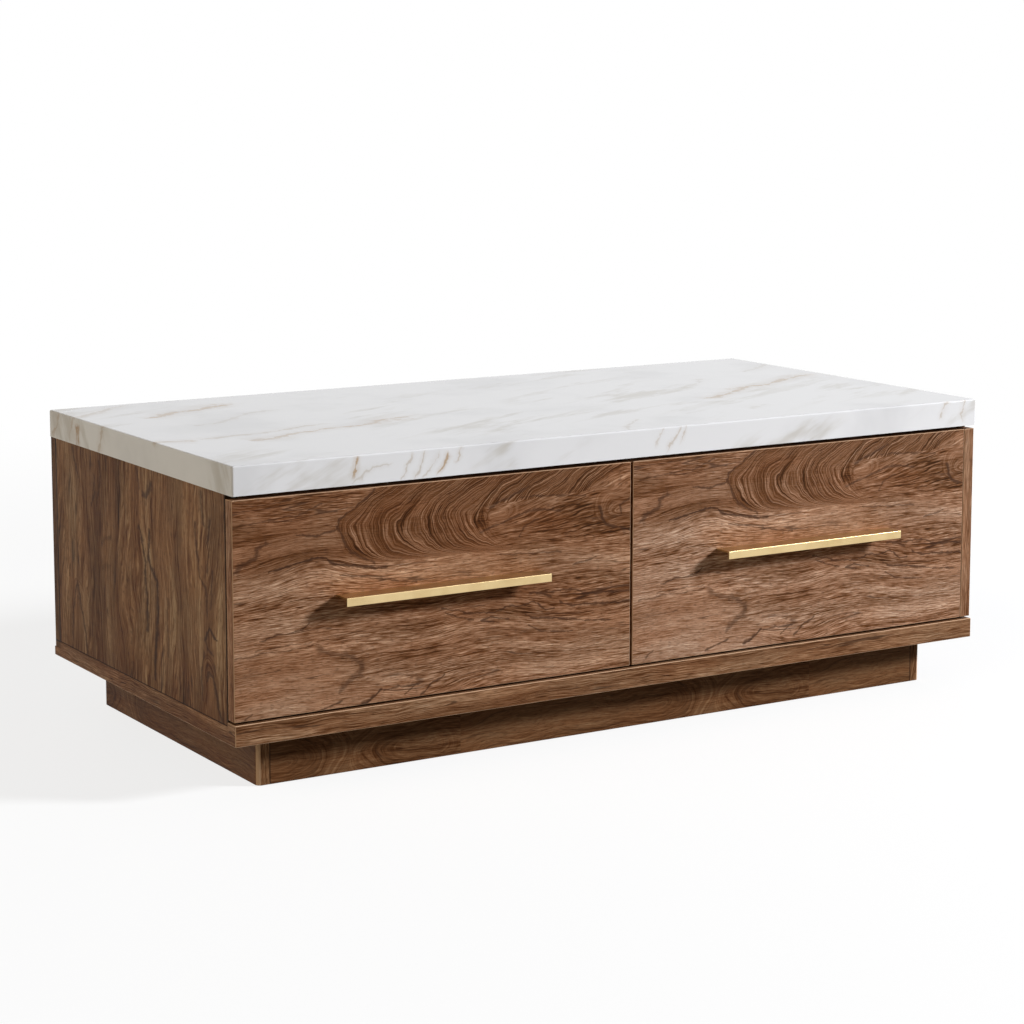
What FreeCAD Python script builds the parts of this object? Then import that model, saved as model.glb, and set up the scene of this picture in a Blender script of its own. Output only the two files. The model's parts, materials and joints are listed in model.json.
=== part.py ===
import FreeCAD, Part
import os
from FreeCAD import Placement, Rotation, Vector

# Coffee table with a marble-clad top, two drawers and a plinth.
# Millimetres. +X is to the right along the table, the drawers open towards -Y, +Z is up.
# The origin is on the floor, under the middle of the table top.

# Table top
top_length = 1200.0
top_depth = 600.0
top_thickness = 38.0
top_edge_radius = 2.2
top_corner_radius = 3.0
marble_thickness = 12.0

# Cabinet
opening_height = 289.0
side_overhang = 0.5
front_overhang = 3.0
back_overhang = 3.0
board_thickness = 18.0
rail_width = 80.0
board_edge_radius = 0.8

# Bottom panel, with the steps that the side panels and the back panel stand in
bottom_thickness = 28.0
bottom_edge_radius = 1.2
side_step_depth = 5.5
back_step_depth = 15.5

# Plinth and glides
plinth_height = 69.0
plinth_side_inset = 54.0
plinth_depth_inset = 51.0
plinth_corner_radius = 7.0
corner_block_width = 40.0
glide_height = 6.0
glide_radius = 11.0
glide_stand_off = 1.0

# Drawer fronts
front_thickness = 18.0
front_edge_radius = 1.0
gap_above_fronts = 5.5
gap_below_fronts = 3.0
meeting_gap = 4.0
meeting_offset = -5.0
end_strip_width = 17.5
end_strip_gap = 1.0
bumper_thickness = 1.5
bumper_radius = 4.0
bumper_inset = 25.0

# Drawer boxes
space_above_box = 37.0
box_board = 15.0
box_lift = 14.0
box_edge_radius = 1.0
drawer_bottom_thickness = 6.0
groove_depth = 7.0
groove_height = 10.0
groove_clearance = 0.3

# Telescopic slides: three nested channels on each side of a drawer
space_behind_slides = 54.0
slide_thickness = 12.7
slide_height = 45.0
slide_wall = 1.2
slide_setback = 2.5
slide_axis_height = 90.0
slide_running_gap = 0.35
screw_head_clearance = 1.4
channel_web_gap = 0.5
channel_tip_gap = 0.7
access_hole_radius = 5.0
web_hole_shares = (0.18, 0.38, 0.62, 0.82)

# Brass pulls
handle_length = 304.0
handle_projection = 29.0
handle_lip_height = 11.0
handle_flange_height = 15.0
handle_flange_inset = 20.0
handle_wall = 2.5
handle_edge_radius = 0.8
handle_above_middle = 7.5

# Fasteners
fit_clearance = 0.1
bite_share = 0.65
dowel_radius = 4.0
dowel_long_end = 18.0
dowel_short_end = 10.0
box_dowel_radius = 3.0
box_dowel_long_end = 16.0
box_dowel_short_end = 9.0
confirmat_radius = 3.5
confirmat_head_radius = 5.0
confirmat_head_height = 4.0
confirmat_bite = 32.0
cam_radius = 7.5
cam_depth = 12.5
cam_distance = 24.0
cam_bolt_radius = 3.0
cam_bolt_bite = 11.0
wood_screw_radius = 2.25
wood_screw_head_radius = 4.5
wood_screw_head_height = 2.6
small_screw_radius = 1.75
small_screw_head_radius = 3.5
small_screw_head_height = 2.0
machine_screw_radius = 2.0
plinth_screw_sink = 34.0
plinth_screw_inset = 12.0

# Places of the fasteners, as shares of the piece that they run along
panel_dowel_shares = (0.28, 0.72)
panel_screw_shares = (0.08, 0.5, 0.92)
rail_dowel_shares = (0.2, 0.8)
rail_middle_share = 0.5
back_cam_shares = (0.2, 0.8)
top_screw_shares = (0.08, 0.36, 0.64, 0.92)
divider_screw_shares = (0.35, 0.65)
plinth_dowel_shares = (0.35, 0.7)
strip_dowel_shares = (0.15, 0.85)
slide_screw_shares = (0.08, 0.5, 0.92)
slide_bite_share = 0.45
box_dowel_shares = (0.22, 0.5, 0.78)
front_screw_x_shares = (0.15, 0.85)
front_screw_z_shares = (0.2, 0.82)
handle_screw_shares = (0.13, 0.5, 0.87)
centre_glide_shares = (0.12, 0.5, 0.88)

# Levels
plinth_bottom = glide_stand_off
bottom_underside = plinth_bottom + plinth_height
floor_of_bay = bottom_underside + bottom_thickness
top_underside = floor_of_bay + opening_height
top_surface = top_underside + top_thickness
rail_underside = top_underside - board_thickness
side_panel_bottom = floor_of_bay - side_step_depth
back_panel_bottom = floor_of_bay - back_step_depth

# Upright planes from front to back
top_front = -top_depth / 2
top_back = top_depth / 2
fronts_face = top_front + front_overhang
fronts_back = fronts_face + front_thickness
carcass_front = fronts_back + bumper_thickness
carcass_back = top_back - back_overhang
back_panel_inside = carcass_back - board_thickness

# Upright planes from left to right
top_left = -top_length / 2
top_right = top_length / 2
carcass_left = top_left + side_overhang
carcass_right = top_right - side_overhang
left_panel_inside = carcass_left + board_thickness
right_panel_inside = carcass_right - board_thickness
divider_left = -board_thickness / 2
divider_right = board_thickness / 2

# Drawer fronts
front_bottom = floor_of_bay + gap_below_fronts
front_top = top_underside - gap_above_fronts
front_middle = (front_bottom + front_top) / 2
left_front_span = (carcass_left, meeting_offset - meeting_gap / 2)
end_strip_left = carcass_right - end_strip_width
right_front_span = (meeting_offset + meeting_gap / 2, end_strip_left - end_strip_gap)

# Drawer boxes and slides
box_bottom = floor_of_bay + box_lift
box_top = rail_underside - space_above_box
slide_front = carcass_front + slide_setback
slide_back = back_panel_inside - space_behind_slides
slide_axis = box_bottom + slide_axis_height
left_bay = (left_panel_inside, divider_left)
right_bay = (divider_right, right_panel_inside)

# Plinth
plinth_left = top_left + plinth_side_inset
plinth_right = top_right - plinth_side_inset
plinth_front = top_front + plinth_depth_inset
plinth_back = top_back - plinth_depth_inset
plinth_inner_left = plinth_left + board_thickness
plinth_inner_right = plinth_right - board_thickness
plinth_inner_front = plinth_front + board_thickness
plinth_inner_back = plinth_back - board_thickness

left = Vector(-1, 0, 0)
right = Vector(1, 0, 0)
forward = Vector(0, -1, 0)
backward = Vector(0, 1, 0)
up = Vector(0, 0, 1)
down = Vector(0, 0, -1)


def block(x_span, y_span, z_span):
    """A box between two planes on each axis."""
    corner = Vector(x_span[0], y_span[0], z_span[0])
    return Part.makeBox(x_span[1] - x_span[0], y_span[1] - y_span[0], z_span[1] - z_span[0], corner)


def along(span, share):
    """The place at a share of the way along a span."""
    return span[0] + (span[1] - span[0]) * share


def edges_along(shape, direction):
    """The straight edges of a shape that run along a direction."""
    found = []
    for edge in shape.Edges:
        run = edge.lastVertex().Point - edge.firstVertex().Point
        if run.Length > 0 and abs(abs(run.normalize().dot(direction)) - 1) < 1e-6:
            found.append(edge)
    return found


def rounded(shape, radius, edges=None):
    """Round the given edges, or all of them."""
    return shape.makeFillet(radius, shape.Edges if edges is None else edges)


def cut_all(shape, holes):
    """Cut every hole from a shape."""
    return shape.cut(Part.makeCompound(holes)).removeSplitter() if holes else shape


def dowel(joint, direction, radius, long_end, short_end):
    """A plain dowel through a joint plane: its long end lies along the direction."""
    return Part.makeCylinder(radius, long_end + short_end, joint - direction * short_end, direction)


def dowel_hole(joint, direction, radius, long_end, short_end):
    """The hole for a dowel, a little wider and deeper."""
    wide = radius + fit_clearance
    return dowel(joint, direction, wide, long_end + fit_clearance, short_end + fit_clearance)


def cross_recess(head_radius, head_height):
    """The cross that a driver turns, cut into the top of a head at the origin."""
    arm = head_radius * 1.1
    width = head_radius * 0.26
    depth = head_height * 0.5
    low = head_height - depth
    bars = [
        block((-arm / 2, arm / 2), (-width / 2, width / 2), (low, head_height)),
        block((-width / 2, width / 2), (-arm / 2, arm / 2), (low, head_height)),
    ]
    return Part.makeCompound(bars)


def screw(seat, direction, reach, radius, head_radius, head_height):
    """A pan-head screw: the head bears on the seat and the shank goes the given way."""
    head = Part.makeCylinder(head_radius, head_height)
    head = rounded(head, head_height * 0.45, [head.Edges[0]])
    head = head.cut(cross_recess(head_radius, head_height))
    shank = Part.makeCylinder(radius, reach, Vector(0, 0, 0), down)
    whole = head.fuse(shank).removeSplitter()
    whole.Placement = Placement(seat, Rotation(up, direction * -1))
    return whole


def screw_hole(seat, direction, reach, radius):
    """The hole for a screw's shank, a little wider and deeper."""
    return Part.makeCylinder(radius + fit_clearance, reach + fit_clearance, seat, direction)


def head_sink(seat, direction, head_radius, depth):
    """The pocket that takes a head below the surface."""
    return Part.makeCylinder(head_radius + fit_clearance, depth, seat, direction * -1)


# Places of the joints. Each list is used by the boards and by the fasteners alike.

panel_depth_span = (carcass_front, back_panel_inside)
uprights = (
    ("left", (carcass_left + left_panel_inside) / 2, side_panel_bottom),
    ("divider", 0.0, floor_of_bay),
    ("right", (right_panel_inside + carcass_right) / 2, side_panel_bottom),
)


def upright_dowels(name):
    """Dowels between an upright board and the bottom panel."""
    places = []
    for upright, x, foot in uprights:
        if upright == name:
            for share in panel_dowel_shares:
                places.append((Vector(x, along(panel_depth_span, share), foot), up))
    return places


def upright_screws(name):
    """Screws that come up through the bottom panel into an upright board: seat and reach."""
    places = []
    seat_level = bottom_underside + confirmat_head_height
    for upright, x, foot in uprights:
        if upright == name:
            for share in panel_screw_shares:
                seat = Vector(x, along(panel_depth_span, share), seat_level)
                places.append((seat, foot + confirmat_bite - seat_level))
    return places


front_rail_span = (carcass_front, carcass_front + rail_width)
rear_rail_span = (back_panel_inside - rail_width, back_panel_inside)
rail_axis = (rail_underside + top_underside) / 2


def rail_joints(rail_span, share):
    """The points on both ends of a top rail at a share of its width, with the way into the rail."""
    y = along(rail_span, share)
    return [
        (Vector(left_panel_inside, y, rail_axis), right),
        (Vector(right_panel_inside, y, rail_axis), left),
    ]


def rail_dowels(rail_span):
    """Dowels at both ends of a top rail."""
    places = []
    for share in rail_dowel_shares:
        places += rail_joints(rail_span, share)
    return places


back_panel_span = (floor_of_bay, rail_underside)


def back_cams(name):
    """Where the back panel's bolts enter an upright board, with the face that takes the cam."""
    places = []
    for upright, x, foot in uprights:
        if upright == name:
            face = left if name == "right" else right
            for share in back_cam_shares:
                joint = Vector(x, back_panel_inside, along(back_panel_span, share))
                places.append((joint, forward, face))
    return places


def rail_cams(rail_span):
    """Where the side panels' bolts enter a top rail, with the face that takes the cam."""
    return [(joint, inward, down) for joint, inward in rail_joints(rail_span, rail_middle_share)]


def cam_lock_hole(joint, inward, face):
    """The round pocket for a cam lock."""
    mouth = joint + inward * cam_distance + face * (board_thickness / 2)
    return Part.makeCylinder(cam_radius + fit_clearance, cam_depth + fit_clearance, mouth, face * -1)


def cam_bolt_hole(joint, inward):
    """The hole for a cam bolt, in both boards."""
    start = joint - inward * (cam_bolt_bite + fit_clearance)
    length = cam_bolt_bite + cam_distance + 2 * fit_clearance
    return Part.makeCylinder(cam_bolt_radius + fit_clearance, length, start, inward)


def cam_lock(joint, inward, face):
    """A cam lock, open at the side where the bolt's head enters."""
    mouth = joint + inward * cam_distance + face * (board_thickness / 2)
    drum = Part.makeCylinder(cam_radius, cam_depth, mouth, face * -1)
    slot = block((-cam_radius, cam_radius), (-cam_radius / 8, cam_radius / 8), (-cam_depth / 6, 0))
    slot.Placement = Placement(mouth, Rotation(up, face))
    return drum.cut(slot).cut(cam_bolt_hole(joint, inward))


def cam_bolt(joint, inward):
    """The bolt that a cam lock pulls on, with a narrow neck behind its head."""
    neck = cam_bolt_radius / 2
    body_length = cam_bolt_bite + cam_distance - cam_radius
    body = Part.makeCylinder(cam_bolt_radius, body_length, joint - inward * cam_bolt_bite, inward)
    stem = Part.makeCylinder(neck, cam_radius, joint + inward * (cam_distance - cam_radius), inward)
    head_start = joint + inward * (cam_distance - cam_bolt_radius)
    head = Part.makeCylinder(cam_bolt_radius, cam_bolt_radius, head_start, inward)
    return body.fuse(stem).fuse(head).removeSplitter()


top_screw_reach = board_thickness + (top_thickness - marble_thickness) * bite_share


def top_screws(rail_span):
    """Screws that come up through a top rail into the board under the marble."""
    y = along(rail_span, rail_middle_share)
    span = (left_panel_inside, right_panel_inside)
    return [Vector(along(span, share), y, rail_underside) for share in top_screw_shares]


divider_screw_reach = 2 * board_thickness


def divider_screws(rail_span):
    """Screws that go down through a top rail into the divider, heads sunk level with the rail."""
    level = top_underside - wood_screw_head_height
    return [Vector(0, along(rail_span, share), level) for share in divider_screw_shares]


def strip_dowels():
    """Dowels between the end strip and the right side panel's front edge."""
    x = (end_strip_left + carcass_right) / 2
    span = (front_bottom, front_top)
    return [(Vector(x, carcass_front, along(span, share)), backward) for share in strip_dowel_shares]


plinth_level_span = (plinth_bottom, bottom_underside)


def plinth_corner_dowels(inner_x, into_board, y):
    """Dowels at one end of the plinth's front or back board."""
    places = []
    for share in plinth_dowel_shares:
        places.append((Vector(inner_x, y, along(plinth_level_span, share)), into_board))
    return places


def plinth_board_dowels(y):
    """Dowels at both ends of the plinth's front or back board."""
    places = plinth_corner_dowels(plinth_inner_left, right, y)
    return places + plinth_corner_dowels(plinth_inner_right, left, y)


def plinth_rail_dowels(y, into_rail):
    """Dowels at one end of the plinth's centre rail."""
    return [(Vector(0, y, along(plinth_level_span, share)), into_rail) for share in plinth_dowel_shares]


front_board_axis = (plinth_front + plinth_inner_front) / 2
back_board_axis = (plinth_inner_back + plinth_back) / 2
block_corners = (
    (plinth_inner_left, 1, plinth_inner_front, 1),
    (plinth_inner_right, -1, plinth_inner_front, 1),
    (plinth_inner_left, 1, plinth_inner_back, -1),
    (plinth_inner_right, -1, plinth_inner_back, -1),
)
plinth_screw_seat = glide_height + plinth_screw_sink
plinth_screw_reach = bottom_underside + bottom_thickness * bite_share - plinth_screw_seat


def block_screw_place(corner):
    """Where the screw of a plinth corner block stands, seen from above, clear of the glide."""
    x, x_way, y, y_way = corner
    return x + x_way * plinth_screw_inset, y + y_way * plinth_screw_inset


def hole_set(places, long_end=dowel_long_end, short_end=dowel_short_end, radius=dowel_radius):
    """The holes for a list of dowels."""
    return [dowel_hole(joint, way, radius, long_end, short_end) for joint, way in places]


# Table top

def marble_top():
    """The marble: a sheet with its edges turned down, glued up as one piece."""
    outer = block((top_left, top_right), (top_front, top_back), (top_underside, top_surface))
    outer = rounded(outer, top_corner_radius, edges_along(outer, up))
    rim = [edge for edge in outer.Edges if edge.BoundBox.ZMin > top_surface - top_edge_radius]
    outer = rounded(outer, top_edge_radius, rim)
    return outer.cut(core_block())


def core_block():
    """The space inside the marble's turned-down edges."""
    x_span = (top_left + marble_thickness, top_right - marble_thickness)
    y_span = (top_front + marble_thickness, top_back - marble_thickness)
    return block(x_span, y_span, (top_underside, top_surface - marble_thickness))


def top_core_board():
    """The board that the marble is glued to and that the rails are screwed to."""
    holes = []
    for rail_span in (front_rail_span, rear_rail_span):
        for seat in top_screws(rail_span):
            holes.append(screw_hole(seat, up, top_screw_reach, wood_screw_radius))
    return cut_all(core_block(), holes)


# Cabinet

def side_panel(name, x_span):
    """A side panel, seated in the bottom panel's step and joined to the rails and the back."""
    panel = block(x_span, panel_depth_span, (side_panel_bottom, top_underside))
    front_edges = []
    for edge in edges_along(panel, up):
        if abs(edge.BoundBox.YMin - carcass_front) < board_edge_radius:
            front_edges.append(edge)
    panel = rounded(panel, board_edge_radius, front_edges)
    holes = hole_set(upright_dowels(name))
    for seat, reach in upright_screws(name):
        holes.append(screw_hole(seat, up, reach, confirmat_radius))
    for rail_span in (front_rail_span, rear_rail_span):
        for joint, way in rail_dowels(rail_span):
            holes.append(dowel_hole(joint, way, dowel_radius, dowel_long_end, dowel_short_end))
        for joint, inward, face in rail_cams(rail_span):
            holes.append(cam_bolt_hole(joint, inward))
    for joint, inward, face in back_cams(name):
        holes.append(cam_lock_hole(joint, inward, face))
        holes.append(cam_bolt_hole(joint, inward))
    holes += slide_screw_holes()
    if name == "right":
        holes += hole_set(strip_dowels())
    return cut_all(panel, holes)


def centre_divider():
    """The upright board between the two bays."""
    panel = block((divider_left, divider_right), panel_depth_span, (floor_of_bay, rail_underside))
    holes = hole_set(upright_dowels("divider"))
    for seat, reach in upright_screws("divider"):
        holes.append(screw_hole(seat, up, reach, confirmat_radius))
    for joint, inward, face in back_cams("divider"):
        holes.append(cam_lock_hole(joint, inward, face))
        holes.append(cam_bolt_hole(joint, inward))
    for rail_span in (front_rail_span, rear_rail_span):
        for seat in divider_screws(rail_span):
            holes.append(screw_hole(seat, down, divider_screw_reach, wood_screw_radius))
    holes += slide_screw_holes()
    return cut_all(panel, holes)


def back_panel():
    """The back panel: it covers the rear edges of the side panels."""
    panel = block((carcass_left, carcass_right), (back_panel_inside, carcass_back),
                  (back_panel_bottom, top_underside))
    outer_edges = []
    for edge in edges_along(panel, up):
        if edge.BoundBox.YMax > carcass_back - board_edge_radius:
            outer_edges.append(edge)
    panel = rounded(panel, board_edge_radius, outer_edges)
    holes = []
    for name in ("left", "divider", "right"):
        for joint, inward, face in back_cams(name):
            holes.append(cam_bolt_hole(joint, inward))
    return cut_all(panel, holes)


def bottom_panel():
    """The thick bottom panel, stepped down where the side panels and the back panel stand."""
    panel = block((top_left, top_right), (top_front, top_back), (bottom_underside, floor_of_bay))
    panel = rounded(panel, bottom_edge_radius)
    steps = [
        block((top_left, left_panel_inside), (carcass_front, top_back), (side_panel_bottom, floor_of_bay)),
        block((right_panel_inside, top_right), (carcass_front, top_back), (side_panel_bottom, floor_of_bay)),
        block((top_left, top_right), (back_panel_inside, top_back), (back_panel_bottom, floor_of_bay)),
    ]
    holes = []
    for name, x, foot in uprights:
        holes += hole_set(upright_dowels(name))
        for seat, reach in upright_screws(name):
            holes.append(screw_hole(seat, up, reach, confirmat_radius))
            holes.append(head_sink(seat, up, confirmat_head_radius, confirmat_head_height))
    for corner in block_corners:
        x, y = block_screw_place(corner)
        holes.append(screw_hole(Vector(x, y, plinth_screw_seat), up, plinth_screw_reach, wood_screw_radius))
    return cut_all(panel, steps + holes)


def top_rail(rail_span):
    """A flat rail under the top, from side panel to side panel."""
    rail = block((left_panel_inside, right_panel_inside), rail_span, (rail_underside, top_underside))
    holes = hole_set(rail_dowels(rail_span))
    for joint, inward, face in rail_cams(rail_span):
        holes.append(cam_lock_hole(joint, inward, face))
        holes.append(cam_bolt_hole(joint, inward))
    for seat in top_screws(rail_span):
        holes.append(screw_hole(seat, up, top_screw_reach, wood_screw_radius))
    for seat in divider_screws(rail_span):
        holes.append(screw_hole(seat, down, divider_screw_reach, wood_screw_radius))
        holes.append(head_sink(seat, down, wood_screw_head_radius, wood_screw_head_height))
    return cut_all(rail, holes)


def right_end_strip():
    """The fixed upright strip at the right end of the front, level with the drawer fronts."""
    strip = block((end_strip_left, carcass_right), (fronts_face, carcass_front), (front_bottom, front_top))
    face_edges = [edge for edge in strip.Edges if edge.BoundBox.YMax < fronts_face + front_edge_radius]
    strip = rounded(strip, front_edge_radius, face_edges)
    return cut_all(strip, hole_set(strip_dowels()))


# Plinth

def plinth_long_board(y_span, y_axis, rail_joint_y, into_rail):
    """The plinth's front or back board, between the side boards."""
    board = block((plinth_inner_left, plinth_inner_right), y_span, plinth_level_span)
    holes = hole_set(plinth_board_dowels(y_axis))
    holes += hole_set(plinth_rail_dowels(rail_joint_y, into_rail))
    return cut_all(board, holes)


def plinth_side_board(x_span, outer_x):
    """A side board of the plinth: its outer upright corners are rounded."""
    board = block(x_span, (plinth_front, plinth_back), plinth_level_span)
    corner_edges = []
    for edge in edges_along(board, up):
        if abs(edge.BoundBox.XMin - outer_x) < board_edge_radius:
            corner_edges.append(edge)
    board = rounded(board, plinth_corner_radius, corner_edges)
    holes = hole_set(plinth_board_dowels(front_board_axis))
    holes += hole_set(plinth_board_dowels(back_board_axis))
    return cut_all(board, holes)


def plinth_centre_rail():
    """The rail under the middle of the table, from front board to back board."""
    rail = block((-board_thickness / 2, board_thickness / 2), (plinth_inner_front, plinth_inner_back),
                 (glide_height, bottom_underside))
    holes = hole_set(plinth_rail_dowels(plinth_inner_front, backward))
    holes += hole_set(plinth_rail_dowels(plinth_inner_back, forward))
    return cut_all(rail, holes)


def plinth_corner_blocks():
    """Four blocks glued into the plinth's corners, screwed up into the bottom panel."""
    blocks = []
    for corner in block_corners:
        x, x_way, y, y_way = corner
        x_span = sorted((x, x + x_way * corner_block_width))
        y_span = sorted((y, y + y_way * corner_block_width))
        screw_x, screw_y = block_screw_place(corner)
        seat = Vector(screw_x, screw_y, plinth_screw_seat)
        holes = [
            screw_hole(seat, up, plinth_screw_reach, wood_screw_radius),
            head_sink(seat, up, wood_screw_head_radius, plinth_screw_sink),
        ]
        blocks.append(cut_all(block(x_span, y_span, (glide_height, bottom_underside)), holes))
    return Part.makeCompound(blocks)


def glide(x, y):
    """A round glide with a softened foot."""
    disc = Part.makeCylinder(glide_radius, glide_height, Vector(x, y, 0))
    foot = [edge for edge in disc.Edges if edge.BoundBox.ZMax < glide_stand_off]
    return rounded(disc, glide_stand_off, foot)


def floor_glides():
    """The glides under the corner blocks and the centre rail."""
    glides = []
    for corner in block_corners:
        x, x_way, y, y_way = corner
        offset = corner_block_width - glide_radius
        glides.append(glide(x + x_way * offset, y + y_way * offset))
    for share in centre_glide_shares:
        glides.append(glide(0, along((plinth_inner_front, plinth_inner_back), share)))
    return Part.makeCompound(glides)


# Fasteners of the cabinet and the plinth

def dowels(places, long_end=dowel_long_end, short_end=dowel_short_end, radius=dowel_radius):
    """A group of like dowels."""
    made = [dowel(joint, way, radius, long_end, short_end) for joint, way in places]
    return Part.makeCompound(made)


def carcass_dowels():
    """Dowels of the uprights, the top rails and the end strip."""
    places = strip_dowels()
    for name, x, foot in uprights:
        places += upright_dowels(name)
    for rail_span in (front_rail_span, rear_rail_span):
        places += rail_dowels(rail_span)
    return dowels(places)


def plinth_dowels():
    """Dowels of the plinth's frame."""
    places = plinth_board_dowels(front_board_axis) + plinth_board_dowels(back_board_axis)
    places += plinth_rail_dowels(plinth_inner_front, backward)
    places += plinth_rail_dowels(plinth_inner_back, forward)
    return dowels(places)


def confirmat_screws():
    """Coarse one-piece screws through the bottom panel."""
    made = []
    for name, x, foot in uprights:
        for seat, reach in upright_screws(name):
            made.append(screw(seat, up, reach, confirmat_radius, confirmat_head_radius,
                              confirmat_head_height))
    return Part.makeCompound(made)


def all_cams():
    """Every cam joint of the cabinet."""
    places = rail_cams(front_rail_span) + rail_cams(rear_rail_span)
    for name, x, foot in uprights:
        places += back_cams(name)
    return places


def cam_locks():
    """The cam locks."""
    return Part.makeCompound([cam_lock(joint, inward, face) for joint, inward, face in all_cams()])


def cam_bolts():
    """The cam bolts."""
    return Part.makeCompound([cam_bolt(joint, inward) for joint, inward, face in all_cams()])


def wood_screws(seats, direction, reach):
    """A group of like wood screws."""
    made = []
    for seat in seats:
        made.append(screw(seat, direction, reach, wood_screw_radius, wood_screw_head_radius,
                          wood_screw_head_height))
    return Part.makeCompound(made)


def plinth_screw_seats():
    """Where the screws of the corner blocks bear."""
    seats = []
    for corner in block_corners:
        x, y = block_screw_place(corner)
        seats.append(Vector(x, y, plinth_screw_seat))
    return seats


# Slides. Each is drawn against the left wall of its bay and mirrored to the right wall.

def channel(x_span, height, web_at_left):
    """A channel along the slide: a web and two flanges that reach the other way."""
    z_span = (slide_axis - height / 2, slide_axis + height / 2)
    outer = block(x_span, (slide_front, slide_back), z_span)
    web_x = x_span[0] if web_at_left else x_span[1]
    bends = []
    for edge in edges_along(outer, backward):
        if abs(edge.BoundBox.XMin - web_x) < slide_wall / 2:
            bends.append(edge)
    outer = rounded(outer, slide_wall * 0.8, bends)
    inner_x = (x_span[0] + slide_wall, x_span[1]) if web_at_left else (x_span[0], x_span[1] - slide_wall)
    hollow = block(inner_x, (slide_front, slide_back), (z_span[0] + slide_wall, z_span[1] - slide_wall))
    return outer.cut(hollow)


def web_holes(wall_x):
    """Round access holes through the webs of the cabinet and middle channels."""
    holes = []
    for share in web_hole_shares:
        start = Vector(wall_x, along((slide_front, slide_back), share), slide_axis)
        holes.append(Part.makeCylinder(access_hole_radius, middle_web_offset + slide_wall * 2, start, right))
    return holes


def on_both_walls(shape, bay):
    """A shape at the left wall of a bay and its mirror image at the right wall."""
    middle = Vector((bay[0] + bay[1]) / 2, 0, 0)
    return Part.makeCompound([shape, shape.mirror(middle, right)])


middle_web_offset = slide_wall + small_screw_head_height + screw_head_clearance
drawer_channel_depth = slide_thickness - middle_web_offset - slide_wall - channel_web_gap
middle_height = slide_height - 2 * slide_wall - 2 * slide_running_gap
inner_height = middle_height - 2 * slide_wall - 2 * slide_running_gap
cabinet_bite = board_thickness * slide_bite_share


def cabinet_slide_seats(wall_x):
    """Where the screws of a cabinet channel bear, at the left wall of a bay."""
    seats = []
    for share in slide_screw_shares:
        seats.append(Vector(wall_x + slide_wall, along((slide_front, slide_back), share), slide_axis))
    return seats


def cabinet_slides(bay):
    """The two channels screwed to the walls of a bay."""
    profile = channel((bay[0], bay[0] + slide_thickness - channel_tip_gap), slide_height, True)
    holes = web_holes(bay[0])
    for seat in cabinet_slide_seats(bay[0]):
        holes.append(Part.makeCylinder(small_screw_radius + fit_clearance, slide_wall, seat, left))
    return on_both_walls(cut_all(profile, holes), bay)


def middle_slides(bay):
    """The two channels that run between the cabinet channels and the drawer channels."""
    start = bay[0] + middle_web_offset
    profile = channel((start, bay[0] + slide_thickness - channel_tip_gap), middle_height, True)
    return on_both_walls(cut_all(profile, web_holes(bay[0])), bay)


def drawer_slide_seats(wall_x):
    """Where the screws of a drawer channel bear, at the left wall of a bay."""
    x = wall_x + slide_thickness - slide_wall
    span = (slide_front, slide_back)
    return [Vector(x, along(span, share), slide_axis) for share in slide_screw_shares]


def drawer_slides(bay):
    """The two channels screwed to the sides of a drawer box."""
    end = bay[0] + slide_thickness
    profile = channel((end - drawer_channel_depth, end), inner_height, False)
    holes = []
    for seat in drawer_slide_seats(bay[0]):
        holes.append(Part.makeCylinder(small_screw_radius + fit_clearance, slide_wall, seat, right))
    return on_both_walls(cut_all(profile, holes), bay)


def small_screw(seat, direction, reach):
    """A small pan-head screw."""
    return screw(seat, direction, reach, small_screw_radius, small_screw_head_radius, small_screw_head_height)


def cabinet_slide_screws():
    """The screws of the cabinet channels in both bays."""
    made = []
    for bay in (left_bay, right_bay):
        for seat in cabinet_slide_seats(bay[0]):
            made.append(on_both_walls(small_screw(seat, left, slide_wall + cabinet_bite), bay))
    return Part.makeCompound(made)


def slide_screw_holes():
    """The pilot holes of the cabinet channels' screws, at all four walls."""
    holes = []
    for bay in (left_bay, right_bay):
        for seat in cabinet_slide_seats(bay[0]):
            pilot = screw_hole(seat, left, slide_wall + cabinet_bite, small_screw_radius)
            holes.append(on_both_walls(pilot, bay))
    return holes


def drawer_slide_screws(bay):
    """The screws of one drawer's channels."""
    made = []
    for seat in drawer_slide_seats(bay[0]):
        made.append(on_both_walls(small_screw(seat, right, slide_wall + box_board * bite_share), bay))
    return Part.makeCompound(made)


# Drawers

def drawer_sizes(bay, front_span):
    """The planes of one drawer's box and front."""
    return {
        "bay": bay,
        "front": front_span,
        "outside": (bay[0] + slide_thickness, bay[1] - slide_thickness),
        "inside": (bay[0] + slide_thickness + box_board, bay[1] - slide_thickness - box_board),
        "depth": (fronts_back, slide_back),
        "inner_depth": (fronts_back + box_board, slide_back - box_board),
        "height": (box_bottom, box_top),
    }


groove_level = box_bottom + groove_height
handle_top = front_middle + handle_above_middle
handle_screw_level = handle_top - handle_wall - (handle_flange_height - handle_wall) / 2
front_screw_reach = box_board + front_thickness * bite_share
handle_screw_reach = box_board + front_thickness + handle_wall


def groove_block(drawer):
    """The space of the drawer's bottom and its grooves."""
    x_span = (drawer["inside"][0] - groove_depth, drawer["inside"][1] + groove_depth)
    y_span = (drawer["inner_depth"][0] - groove_depth, drawer["inner_depth"][1] + groove_depth)
    return block(x_span, y_span, (groove_level, groove_level + drawer_bottom_thickness + groove_clearance))


def box_dowels(drawer):
    """Dowels between the box's sides and its front and back."""
    places = []
    front_axis = drawer["depth"][0] + box_board / 2
    back_axis = drawer["depth"][1] - box_board / 2
    for share in box_dowel_shares:
        level = along((groove_level + drawer_bottom_thickness, box_top), share)
        for y in (front_axis, back_axis):
            places.append((Vector(drawer["inside"][0], y, level), right))
            places.append((Vector(drawer["inside"][1], y, level), left))
    return places


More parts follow.
